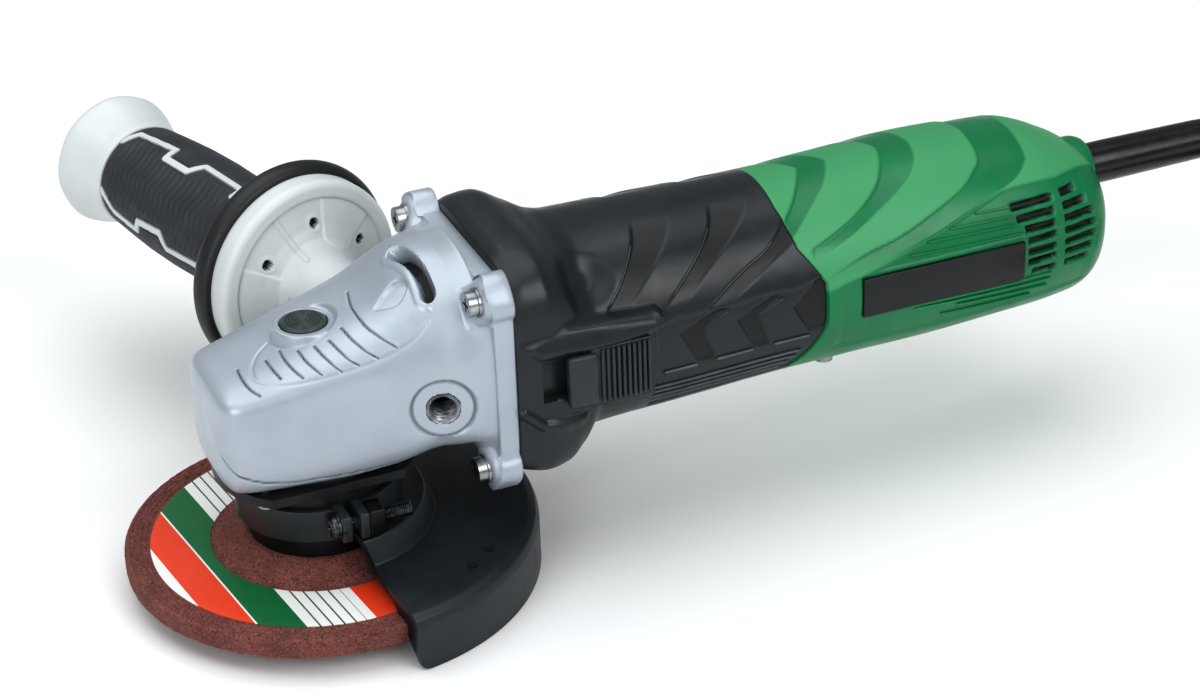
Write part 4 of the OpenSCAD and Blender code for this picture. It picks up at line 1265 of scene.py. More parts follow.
@dataclass(frozen=True)
class Wave:
    """A curved band across a barrel, cut deepest along its front edge."""

    front: tuple[tuple[float, float], ...]
    back: tuple[tuple[float, float], ...]
    low: float
    high: float

    def edge(self) -> list[tuple[float, float]]:
        """Return the lit stretch of the front edge, clear of the band's fading end.

        Returns:
            The places, as x and side turn.
        """
        places = curved(sorted(self.front, key=lambda q: q[1]), 4)
        kept = (places[:, 1] > self.low + 2) & (places[:, 1] < self.high - 12)
        return [tuple(q) for q in places[kept]]

    def depth(self, x: np.ndarray, degrees: np.ndarray) -> tuple[np.ndarray, np.ndarray]:
        """Return the depth share, from 0 to 1, and the band's cover share at each place.

        Args:
            x: places along the motor axis, in mm.
            degrees: side turns, in degrees.

        Returns:
            The depth share and the cover share.
        """
        edges = []
        for line in (self.front, self.back):
            fine = curved(sorted(line, key=lambda q: q[1]), 8)
            edges.append(np.interp(degrees, fine[:, 1], fine[:, 0]))
        width = np.maximum(edges[1] - edges[0], 0.5)
        share = np.clip((x - edges[0]) / width, 0, 1)
        ends = np.minimum(degrees - self.low, self.high - degrees) * MM_PER_DEGREE
        within = smooth(np.minimum(x - edges[0], edges[1] - x) - 0.3, 1.1) * smooth(ends - 2, 8.0)
        return within * (1 - 0.8 * share), within


def surface_bar(line: Sequence[tuple[float, float]], side: int, half: float = 0.5) -> Piece:
    """Build one thin moulded bar that follows the barrel.

    Args:
        line: two or more places on it, as x and side turn in degrees.
        side: 1 on the -Y side, -1 on the +Y side.
        half: half its width, in mm.

    Returns:
        The bar.
    """
    places = curved(line, 60 // (len(line) - 1))
    t = np.linspace(0, 1, len(places))
    turn = np.radians(places[:, 1])
    turn = turn if side > 0 else math.pi - turn
    middle = Hull(BODY_STATIONS).points(places[:, 0], turn)
    out = np.stack([0 * t, -np.cos(turn), np.sin(turn)], -1)
    along = np.gradient(middle, axis=0)
    across = np.cross(out, along)
    across /= np.linalg.norm(across, axis=1, keepdims=True)
    grow = np.minimum(1, np.minimum(t, 1 - t) * 30 + 0.15)[:, None]
    rings = []
    for angle in np.radians(np.arange(0, 360, 36)):
        offset = out * (0.55 * math.sin(angle) * grow - 0.42) + across * (half * math.cos(angle) * grow)
        rings.append(middle + offset)
    return Maker.skin("bar", np.transpose(np.array(rings), (1, 0, 2)))


@dataclass
class MotorShell:
    """The black motor housing: square front, round barrel, switch bed, waves and chevrons."""

    rows: int = 224
    columns: int = 432
    front_x: float = 55.3
    bed: tuple[float, float, float, float] = (58.0, 101.0, 39.8, 65.8)
    bed_y: float = 38.5
    rib_r: float = 42.2
    rib: Line = (
        (57.5, 19), (63, 21.5), (71, 23.5), (84, 23.5), (102.6, 22), (104, 19.5), (101, 17.5), (94.2, 16),
        (87, 14.8), (77, 14.2), (63.3, 14.2),
    )
    low_rib: Line = ((56.4, -13), (63, -21), (77.5, -25))
    window: tuple[float, float, float, float] = (63.4, 91.6, 46.2, 59.4)
    window_depth: float = 4.0
    wave_depth: float = 0.95
    side_depth: float = 0.7
    chevron_depth: float = 0.9
    waves: tuple[Wave, ...] = (
        Wave(((105.3, 75), (102.9, 62), (99.1, 50), (94.5, 39), (87.5, 26)),
             ((118.5, 78), (117.5, 68), (113.6, 57), (109.2, 48), (101.1, 34), (95, 25)), 24, 72),
        Wave(((132.5, 76), (128.9, 60), (123.1, 47), (115.2, 34), (105.6, 20)),
             ((146.5, 77), (143.1, 65), (134.1, 49), (123.1, 34), (114.3, 20)), 24, 73),
        Wave(((156, 62), (151.5, 50), (144.1, 39), (133.8, 30), (119, 14)),
             ((160, 60), (155.8, 43), (147.1, 33), (135.9, 22), (127, 12)), 15, 58),
    )
    fold: Line = ((104, 12), (111.3, 15), (128.8, 14), (144.3, 16), (152.3, 14.5), (166, 20))
    chevrons: tuple[Line, ...] = (
        ((125.6, 14), (111.5, 6), (117.2, -14), (123.9, -16), (119.4, 4), (128.7, 13)),
        ((145, 14), (131.5, 5), (137.5, -15), (142.7, -16), (138.8, 4), (148.1, 12)),
        ((161, 18), (151.4, 4), (157, -14), (164, -14), (164, 18)),
    )
    lines: tuple[Line, ...] = (
        ((105.8, -16.3), (117.7, -16.3)), ((124.1, -16.3), (137.6, -16.5)), ((144.6, -16.8), (157.7, -17)),
        ((100.6, -27), (156, -28.5)), ((96, -30.5), (155, -33.5)), ((91.2, -35), (153, -38.5)),
        ((92, -39), (151, -43.5)),
    )

    def detail(self, p: np.ndarray, turn: np.ndarray) -> tuple[np.ndarray, np.ndarray]:
        """Raise and cut the housing's moulded detail, and return it with its tone.

        Args:
            p: the rings.
            turn: turns from -Y up to +Z, in radians.

        Returns:
            The changed rings and their tone.
        """
        normal = outward(p)
        x = p[..., 0].copy()
        degrees = side_turn(turn)[None] + 0 * x
        arc = degrees * MM_PER_DEGREE
        lift, tone = np.zeros_like(x), np.zeros_like(x)
        for wave in self.waves:
            depth, band = wave.depth(x, degrees)
            lift -= self.wave_depth * depth
            tone = np.maximum(tone, band)
        fold = np.interp(x, *zip(*self.fold))
        flat = smooth((fold - degrees) * MM_PER_DEGREE, 1.2) * smooth(x - 103.5, 1.0) * smooth(degrees + 47, 2)
        lift -= self.side_depth * flat
        for outline in self.chevrons:
            inside = patch_distance(x, arc, unrolled(outline))
            cut = smooth(inside, 1.2)
            lift -= self.chevron_depth * cut
            tone = np.maximum(tone, cut)
        lift -= 2.2 * smooth(7.0 - np.hypot(x - 83, arc - 27), 9.0)
        p = p + normal * lift[..., None]
        return self.switch_bed(p, turn, tone)

    def switch_bed(self, p: np.ndarray, turn: np.ndarray, tone: np.ndarray) -> tuple[np.ndarray, np.ndarray]:
        """Form the flat bed, rib and window of the slide switch on the -Y side.

        Args:
            p: the rings.
            turn: turns from -Y up to +Z, in radians.
            tone: the tone so far.

        Returns:
            The changed rings and their tone.
        """
        x, y, z = p[..., 0], p[..., 1], p[..., 2]
        switch_side = y < -12
        bed = smooth(box_distance(x, z, self.bed), 1.6) * switch_side
        p[..., 1] += bed * (-self.bed_y - p[..., 1])
        arc = np.degrees(turn)[None] * MM_PER_DEGREE + 0 * x
        inside = patch_distance(x, arc, unrolled(self.rib))
        r = np.hypot(p[..., 1], p[..., 2] - MOTOR_Z)
        grow = smooth(inside + 0.8, 3.2) * switch_side * np.maximum(self.rib_r - r, 0)
        p[..., 1] -= grow * np.cos(turn)[None]
        p[..., 2] += grow * np.sin(turn)[None]
        away = line_distance(x, arc, unrolled(self.low_rib))
        p[..., 1] -= 1.3 * smooth(1.2 - away, 1.6) * switch_side
        p[..., 1] += self.window_depth * smooth(box_distance(x, z, self.window), 0.6) * switch_side
        return p, tone

    def build(self) -> None:
        """Build and dress the housing."""
        rings, tone = self.detail(*barrel_rows(self.rows, self.columns, self.front_x, seam_line(self.columns) - 0.25))
        rings = np.concatenate([tucked(rings[0], -0.3), rings, tucked(rings[-1], 0.2)])
        tone = np.concatenate([tone[:1], tone, tone[-1:]])
        shell = Maker.skin("motor_housing_shell", rings, tone, sharp=SHARP_SHELL)
        finished(shell, BLACK_HOUSING, ["motor_housing"])
        # Thin bars on the grip lines and along the waves' lit front edges, all in a pale painted highlight.
        bars = [surface_bar(line, side) for line in self.lines for side in (1, -1)]
        bars += [surface_bar(wave.edge(), side, 0.28) for wave in self.waves for side in (1, -1)]
        finished(Maker.joined("housing_grip_lines", bars), PAINTED_HIGHLIGHT_LINES)


@dataclass
class SlideKnob:
    """The thumb slide of the switch: a smooth front block and a ribbed pad behind it."""

    x: tuple[float, float] = (70.5, 98.5)
    y: tuple[float, float] = (-41.7, -38.7)
    z: tuple[float, float] = (42.8, 62.3)
    front: float = 80.5
    ribs: int = 10

    def build(self) -> None:
        """Build and dress the knob."""
        low, high = (self.x[0], self.y[0] - 0.4, self.z[0] + 0.8), (self.front, self.y[1], self.z[1] - 1.2)
        front = Maker.block("knob_front", low, high, 1.2)
        base = Maker.block(
            "knob_base", (self.front - 2, self.y[0] + 1.0, self.z[0]), (self.x[1], self.y[1], self.z[1]), 0.6
        )
        parts = [front, base]
        pitch = (self.x[1] - self.front - 0.6) / self.ribs
        for i in range(self.ribs):
            x = self.front + 0.5 + (i + 0.5) * pitch
            rise = 0.5 * math.sin(math.pi * (i + 0.5) / self.ribs)
            low = (x - pitch * 0.3, self.y[0] - rise, self.z[0] + 0.5)
            high = (x + pitch * 0.3, self.y[0] + 1.6, self.z[1] - 0.5)
            parts.append(Maker.block(f"knob_rib_{i}", low, high, 0.28, segments=2))
        stem = Maker.block("knob_stem", (72, -38.9, 46.8), (90, -35.2, 58.8), 0.3, segments=1)
        knob = Maker.joined("switch_knob", [*parts, stem])
        finished(knob, KNOB_PLASTIC, ["switch_slider"], Body.SLIDER)


@dataclass
class TailShell:
    """The green tail cover: wave bands, grooved flat sides, nameplate beds and air inlets."""

    rows: int = 224
    columns: int = 432
    tail_x: float = 274.0
    bands: tuple[Wave, ...] = (
        Wave(((169, 97), (167.8, 90), (164.7, 79), (160.1, 66), (154.3, 54), (150, 44)),
             ((179, 97), (178.1, 88), (173.5, 73), (166.9, 61), (156.9, 45), (152, 38)), 36, 120),
        Wave(((196.8, 97), (196.4, 90), (193.8, 77), (188.4, 62), (179.8, 50), (172.4, 43), (160, 34)),
             ((208.5, 97), (206.7, 77), (202.5, 65), (196.1, 56), (186.7, 47), (175.1, 37), (162, 28)), 28, 120),
        Wave(((228, 97), (226, 66), (221.6, 56), (214.6, 47), (201, 37), (189.6, 30), (177, 25), (162, 16)),
             ((244.6, 97), (243.4, 63), (241.4, 55), (236.9, 48), (230.2, 43), (215.9, 34), (204, 27), (182, 16)),
             17, 120),
    )
    crease: Line = ((163, 9), (182.1, 16), (204.2, 27), (215.9, 34), (230, 42), (250.7, 44), (262, 50), (281, 60))
    plate: tuple[float, float, float, float] = (175.5, 234.5, 45.8, 59.8)
    plate_y: float = 32.9
    grooves: tuple[Line, ...] = (
        ((218, 33), (230.9, 32.3)), ((208, 28), (231.5, 27)), ((199.3, 23.6), (231.8, 22)),
        ((192.6, 18.4), (235.1, 16)), ((175.8, -11), (246.5, -15)), ((194, -15), (246.5, -19.5)),
        ((210.5, -20), (245.6, -25)), ((205, -25), (240, -30)),
    )
    slot_offsets: tuple[float, ...] = (17.5, 13.6, 9.7, 5.8, 1.9, -2.0, -5.9)
    slot_starts: tuple[float, ...] = (231.5, 233.0, 235.8, 236.8, 236.8, 236.8, 238.5)
    slot_split: tuple[float, float] = (247.3, 251.2)
    slot_ends: tuple[float, ...] = (257.5, 260.5, 263, 264, 264, 263, 261)
    slot_half: float = 1.05
    slot_depth: float = 2.4
    band_depth: float = 0.8
    side_depth: float = 0.75

    def detail(self, p: np.ndarray, turn: np.ndarray) -> tuple[np.ndarray, np.ndarray]:
        """Raise and cut the tail's moulded detail, and return it with its tone.

        Args:
            p: the rings.
            turn: turns from -Y up to +Z, in radians.

        Returns:
            The changed rings and their tone.
        """
        normal = outward(p)
        x = p[..., 0].copy()
        degrees = side_turn(turn)[None] + 0 * x
        crease = np.interp(x, *zip(*self.crease))
        above = smooth((degrees - crease) * MM_PER_DEGREE, 1.3)
        lift, tone = np.zeros_like(x), above.copy()
        for band in self.bands:
            depth, share = band.depth(x, degrees)
            lift -= self.band_depth * depth
            tone = np.minimum(tone, 1 - share)
        low_side = (1 - above) * smooth(degrees + 34, 4) * smooth(x - 168, 4) * smooth(262 - x, 6)
        lift -= self.side_depth * low_side
        lift += self.frame_round_plate(x, p[..., 2])
        p = p + normal * lift[..., None]
        return self.inlets(p, normal, x, tone)

    def frame_round_plate(self, x: np.ndarray, z: np.ndarray) -> np.ndarray:
        """Return the lift of the thin raised frame round each nameplate."""
        return 0.35 * smooth(0.5 - np.abs(box_distance(x, z, self.plate) + 0.9), 0.6)

    def inlets(
        self, p: np.ndarray, normal: np.ndarray, x: np.ndarray, tone: np.ndarray
    ) -> tuple[np.ndarray, np.ndarray]:
        """Cut the air inlets, painted with the shade of an opening, and the nameplate beds on both sides.

        Args:
            p: the rings.
            normal: the skin's normals.
            x: places along the motor axis before any change.
            tone: the tone so far.

        Returns:
            The changed rings and their tone.
        """
        z = p[..., 2]
        side = np.abs(p[..., 1]) > 9
        # dark marks the inlets, which take the painted shade of an opening.
        dark = np.zeros_like(x)
        for offset, start, end in zip(self.slot_offsets, self.slot_starts, self.slot_ends):
            level = self.slot_half - np.abs(z - MOTOR_Z - offset)
            for x0, x1 in ((start, self.slot_split[0]), (self.slot_split[1], end)):
                inside = np.minimum(level, np.minimum(x - x0, x1 - x))
                dark = np.maximum(dark, smooth(inside, 0.5) * side)
        p = p - normal * (self.slot_depth * dark)[..., None]
        bed = smooth(box_distance(x, z, self.plate), 0.5)
        target = np.sign(p[..., 1]) * (self.plate_y - 0.4)
        p[..., 1] += bed * (target - p[..., 1]) * side
        return p, np.where(dark > 0.2, -np.minimum(1, 1.4 * dark), tone)

    def build(self) -> None:
        """Build and dress the tail cover, its nameplates and the boss of the lead."""
        rings, tone = self.detail(*barrel_rows(self.rows, self.columns, seam_line(self.columns) + 0.25, self.tail_x))
        rings, tone = np.concatenate([tucked(rings[0], -0.2), rings]), np.concatenate([tone[:1], tone])
        shell = Maker.skin("tail_cover_shell", rings, tone, sharp=SHARP_SHELL)
        finished(shell, GREEN_HOUSING, ["tail_cover"])
        boss = eased([(0.1, 250), (11, 250), (10.9, 271.8), (9.6, 274.6), (7.3, 274.8), (7.3, 258), (0.1, 258)], 1.6)
        piece = Maker.lathe("lead_boss", boss, 1.0, 72, along_x(0, LEAD_Z))
        finished(piece, GREEN_HOUSING)
        bars = [surface_bar(line, side, 0.42) for line in self.grooves for side in (1, -1)]
        finished(Maker.joined("tail_side_lines", bars), GREEN_HOUSING)
        for side, name in ((-1, "nameplate_near"), (1, "nameplate_far")):
            self.nameplate(side, name)

    def nameplate(self, side: int, name: str) -> None:
        """Build one blank nameplate, a little smaller than its bed.

        Args:
            side: -1 for the -Y side, 1 for the +Y side.
            name: the plate's name.
        """
        x0, x1, z0, z1 = (edge + gap for edge, gap in zip(self.plate, (0.2, -0.2, 0.2, -0.2)))
        low, high = sorted((side * (self.plate_y - 0.9), side * (self.plate_y + 0.9)))
        plate = Maker.block(name, (x0, low, z0), (x1, high, z1), 0.25)
        finished(plate, PLATE_FILM, ["nameplates"] if side < 0 else ())


# ---- Lead ----


@dataclass
class MainsLead:
    """The strain relief, the lead wound into a coil beyond the tail, and its plug."""

    diameter: float = 7.5
    tip: tuple[float, float, float] = (343.8, 0.0, 63.4)
    drop: tuple[tuple[float, float, float], ...] = (
        (343.8, 0, 63.4), (348, 0, 63.4), (352, 0, 63.3), (362, 0, 61.8), (371, 0, 57.3), (378, 0, 50.2),
        (382.4, 0, 41.3), (384, 0, 31.4), (384, 0, 24), (384, 0, 17.8), (385.6, 0, 7.9), (390, 0, -1),
        (397, 0, -8), (406, 0, -12.6), (412, 0, -14),
    )
    centre: tuple[float, float] = (416.0, -52.5)
    radii: tuple[float, ...] = (52.5, 45.0, 37.5, 30.0)
    low_z: float = -14.2
    high_z: float = -6.7
    away: tuple[tuple[float, float, float], ...] = (
        (475.8, -49, -14.2), (475.2, -63, -14.2), (468.5, -83, -14.2), (455, -99, -14.2), (437, -109.5, -14),
        (416, -113, -12), (398, -113, -8.5), (384, -113, -6),
    )
    plug: tuple[float, float, float] = (376.0, -113.0, -5.5)

    def place(self, degrees: float, radius: float, z: float) -> tuple[float, float, float]:
        """Return a point of the coil."""
        a = math.radians(degrees)
        return (self.centre[0] + radius * math.cos(a), self.centre[1] + radius * math.sin(a), z)

    def coil(self) -> list[tuple[float, float, float]]:
        """Wind the coil clockwise: the bottom layer inwards, the top layer outwards.

        Returns:
            The points of the winding, from its first to its last.
        """
        made = []
        step = 6

        def ease(t: float) -> float:
            """Ease a share in and out."""
            t = min(max(t, 0.0), 1.0)
            return t * t * (3 - 2 * t)

        for k, radius in enumerate(self.radii):
            following = self.radii[min(k + 1, 3)]
            for a in range(0, 360, step):
                t = ease((a - 300) / 60)
                rise = t * (self.high_z - self.low_z) if k == 3 else 0.0
                made.append(self.place(90 - a, radius + t * (following - radius), self.low_z + rise))
        outwards = self.radii[::-1]
        for k in range(3):
            for a in range(0, 360, step):
                t = ease((a - 225) / 60) if k < 2 else 0.0
                made.append(self.place(90 - a, outwards[k] + t * (outwards[k + 1] - outwards[k]), self.high_z))
        for a in range(0, 31, step):
            made.append(self.place(90 - a, self.radii[1] + self.diameter * ease(a / 30), self.high_z))
        pitch = self.high_z - self.low_z
        for a in range(36, 90, step):
            phi = math.radians(90 * ease((a - 30) / 56))
            made.append(self.place(90 - a, self.radii[0] + 7.6 * math.sin(phi), self.low_z + pitch * math.cos(phi)))
        return made

    def build(self) -> None:
        """Build and dress the lead, its strain relief and its plug."""
        relief = [(3.85, 252), (9.3, 252), (9.3, 255), (7.05, 255), (7.05, 285), (6.65, 319), (5.4, 342.5), (4.9, 344)]
        relief += [(3.85, 344)]
        sleeve = eased(relief, 0.5, True)
        piece = Maker.lathe("lead_strain_relief", sleeve, 3.0, 64, along_x(0, LEAD_Z), Ends.LOOPED)
        finished(piece, LEAD_RUBBER, ["cord_armor"])
        body = self.plug_body()
        drop = curved(self.drop, 3)[:-1]
        route = np.vstack([drop, self.coil(), curved(self.away, 3)])
        lead = self.curve("mains_lead", route)
        nodes = ["power_cord", "power_cord_coil", "power_cord_end"]
        finished(lead, LEAD_RUBBER, nodes)

    def curve(self, name: str, route: np.ndarray) -> Piece:
        """Make a round curve along a route, in mm.

        Args:
            name: the object's name.
            route: the points of the route.

        Returns:
            The curve object.
        """
        data = bpy.data.curves.new(name, "CURVE")
        data.dimensions = "3D"
        spline = data.splines.new("POLY")
        spline.points.add(len(route) - 1)
        for point, place in zip(spline.points, route):
            point.co = (*[c * MM for c in place], 1)
        data.bevel_depth = self.diameter / 2 * MM
        data.bevel_resolution = 5
        data.use_fill_caps = True
        spline.use_smooth = True
        return linked(name, data)

    def plug_body(self) -> Piece:
        """Build the moulded two-pin plug with its ribbed strain relief.

        Returns:
            The plug.
        """
        x, y, z = self.plug
        rows = []
        stations = (
            (23, 4.2, 4.2, 2), (22, 5, 5, 2), (18, 5.3, 5.3, 2), (17.5, 4.8, 4.8, 2), (16.5, 4.8, 4.8, 2),
            (16, 5.7, 5.7, 2), (12, 6, 6, 2), (11.5, 5.3, 5.3, 2), (10.5, 5.3, 5.3, 2), (10, 6.6, 6.6, 2),
            (6, 7, 7, 2), (5.5, 6.2, 6.2, 2), (4.5, 6.2, 6.2, 2), (4, 7.6, 7.6, 2), (0, 8.3, 8.3, 2.1),
            (-1.5, 11, 9.8, 2.4), (-5, 13.5, 10.6, 2.6), (-14, 15, 11.4, 2.8), (-30, 16.8, 11.8, 3),
            (-40, 18, 12, 3.2), (-43, 18.2, 12, 3.2), (-44, 17.4, 11.3, 3.2),
        )
        a = np.radians(np.arange(0, 360, 6))
        for dx, half, high, n in stations:
            r = superellipse(a, half, high, n)
            rows.append(np.stack([np.full_like(a, x + dx), y + r * np.cos(a), z + r * np.sin(a)], -1))
        piece = Maker.skin("plug_moulding", np.array(rows), sharp=50)
        return finished(piece, LEAD_RUBBER, ["plug_body"])


# ---- Side handle ----


@dataclass
class SideHandle:
    """The side handle: guard disc, damping ring, ribbed grip with its inlay, and end cap."""

    mouth: tuple[float, float, float] = HANDLE_MOUTH
    tilt: float = HANDLE_TILT
    disc_r: float = 34.2
    screw_r: float = 21.0
    grip_r: float = 19.5
    pocket_r: float = 1.6
    pocket_depth: float = 3.2
    inlay_rise: float = 0.3
    rib_rise: float = 0.6
    rib_pitch: float = 3.1
    screw_turns: tuple[float, ...] = (-145, -85, -25, 35, 95, 155)
    zigzag: Line = (
        (137, -115), (134, -97), (112.1, -94), (111.1, -109), (97.2, -109), (94, -93), (72.4, -93), (71.5, -106),
        (64, -106),
    )
    zigzag_low: Line = (
        (137, -175), (129.3, -192), (113.2, -194), (110.7, -181), (96.6, -178), (93.8, -193), (66, -190),
    )

    def place(self) -> Matrix:
        """Return the handle's axis: local z outwards, local y down."""
        turn = Matrix.Rotation(math.radians(self.tilt), 4, "Z") @ Matrix.Rotation(math.radians(-90), 4, "X")
        return Matrix.Translation(Vector(self.mouth)) @ turn

    def build(self) -> None:
        """Build and dress the handle's pieces."""
        self.disc()
        self.damper()
        self.grip()
        self.cap()

    def disc(self) -> None:
        """Build the pale disc with its rim, webs and screw pockets, with painted shade down the pockets."""
        r = self.disc_r
        face = [
            (4.95, 0.5), (9.6, 0.5), (10, 1.2), (11.5, 20), (12.8, 27), (16, 31.6), (20, 33.6), (27.6, 35.6),
            (28.4, 35.7), (28.9, 34.9), (29.6, 34.6), (32.4, 35.0), (33.6, 35.8), (r, 37.2), (r, 43), (33.6, 44),
            (4.95, 44),
        ]
        profile = refined(eased(face, 0.7), 0.45)
        segments = 400
        rings = Maker.turned(profile, segments, self.place())
        phi = np.linspace(0, 360, segments, endpoint=False)[None]
        radius = profile[:, :1] + 0 * phi
        front = (radius < 28.5) & (profile[:, 1:2] > 26) & (profile[:, 1:2] < 36)
        axis = np.array(self.place())[:3, 2]
        lift, tone = np.zeros_like(radius), np.zeros_like(radius)
        for k, turn in enumerate(self.screw_turns):
            px, py = self.seen_from(radius, phi, turn)
            away = np.hypot(px - self.screw_r, py)
            lift += 0.25 * smooth(3.0 - away, 0.5)
            lift -= self.pocket_depth * smooth(self.pocket_r - away, 0.4)
            # Painted shade down each screw pocket.
            tone = np.where(away < self.pocket_r + 0.05, -1.0, tone)
            mx, my = self.seen_from(radius, phi, turn + 30)
            if k % 2:
                outline = ((14.6, -5.5), (13.6, 0), (14.6, 5.5), (29, 11.5), (29, -11.5))
                lift += 0.6 * smooth(patch_distance(mx, my, outline), 0.8)
            else:
                lift += 0.7 * smooth(0.9 - line_distance(mx, my, ((14, 0), (29, 0))), 0.8)
        rings = rings - axis * (lift * front)[..., None]
        piece = Maker.skin("handle_guard_disc", rings, tone * front, ends=Ends.LOOPED, sharp=50)
        finished(piece, GREY_PLASTIC, ["handle_disc"], Body.HANDLE)

    @staticmethod
    def seen_from(radius: np.ndarray, phi: np.ndarray, turn: float) -> tuple[np.ndarray, np.ndarray]:
        """Return flat places of the disc, with the first axis towards a turn in degrees."""
        off = np.radians((phi - turn + 180) % 360 - 180)
        return radius * np.cos(off), radius * np.sin(off)

    def damper(self) -> None:
        """Build the rubber ring behind the disc, with its rounded bead and groove."""
        outline = [
            (5, 44.05), (32.9, 44.05), (33.4, 43.2), (35.3, 42.9), (36.6, 44.2), (37.2, 46.2), (37.2, 48.6),
            (36.4, 50.2), (34.6, 50.9), (31, 50.6), (27, 50.6), (22.5, 52.6), (20.5, 53.2), (12.2, 53.2),
            (12.2, 50), (5, 50),
        ]
        ring = eased(outline, 0.8, True)
        piece = Maker.lathe("handle_damping_ring", ring, 1.0, 128, self.place(), Ends.LOOPED)
        finished(piece, BLACK_RUBBER, ["handle_damper"], Body.HANDLE)

    def grip(self) -> None:
        """Build the elastomer grip with its fine wavy ribs and pale zigzag inlay."""
        outline = [
            (12.05, 50.2), (17.8, 50.2), (18.1, 53), (18.4, 60), (19.8, 76), (20.4, 98), (20.2, 112), (19.5, 124),
            (18.5, 137), (17.8, 138), (12.05, 138),
        ]
        profile = refined(eased(outline, 0.6, True), 0.42)
        segments = 330
        rings = Maker.turned(profile, segments, self.place())
        phi = np.linspace(0, 360, segments, endpoint=False)[None]
        u = profile[:, 1:2]
        arc = np.radians(-((360 - phi + 0 * u) % 360)) * self.grip_r
        skin = (profile[:, :1] > 17) & (u > 54) & (u < 137.5)
        lines = [[(a, math.radians(b) * self.grip_r) for a, b in line] for line in (self.zigzag, self.zigzag_low)]
        away = np.full(arc.shape, 1e9)
        for line in lines:
            for shift in (-math.pi * self.grip_r, 0, math.pi * self.grip_r):
                away = np.minimum(away, line_distance(u + 0 * arc, arc + shift, line))
        inlay = smooth(1.25 - away, 0.4) * skin
        gap = smooth(2.0 - away, 0.5) * skin * (1 - inlay)
        middle = np.abs((phi + 142 + 90 + 0 * u) % 180 - 90) * math.radians(self.grip_r)
        field_half = 11.0 + 2.2 * np.sign(np.sin((u - 60) / 9.0))
        field = smooth(field_half - middle, 1.2) * smooth(u - 60, 2) * smooth(133 - u, 2) * skin
        wave = 0.5 + 0.5 * np.sin(2 * math.pi * (u + 1.6 * np.sin(middle * 0.28)) / self.rib_pitch)
        lift = self.inlay_rise * inlay - 0.35 * gap + field * (self.rib_rise * wave - 0.25)
        rings = rings + outward(rings) * lift[..., None]
        piece = Maker.skin("handle_grip_elastomer", rings, inlay, ends=Ends.LOOPED)
        finished(piece, GRIP_ELASTOMER, ["handle_grip"], Body.HANDLE)

    def cap(self) -> None:
        """Build the flared end cap with a scalloped skirt."""
        outline = [
            (0.01, 138.05), (17, 138.05), (18.6, 138.05), (19, 140), (19.5, 144), (21.4, 150), (23, 154.5),
            (23.5, 157), (22.8, 159), (20, 160.3), (12, 160.9), (0.01, 161),
        ]
        profile = refined(eased(outline, 1.2), 0.8)
        rings = Maker.turned(profile, 180, self.place())
        phi = np.radians(np.linspace(0, 360, 180, endpoint=False))[None]
        flare = smooth(profile[:, 1:2] - 142, 6) * smooth(161.5 - profile[:, 1:2], 3)
        rings = rings + outward(rings) * (0.1 * flare * np.cos(8 * phi))[..., None]
        piece = Maker.skin("handle_end_cap_shell", rings)
        finished(piece, GREY_PLASTIC, ["handle_end_cap"], Body.HANDLE)


# ---- Guard and wheel ----


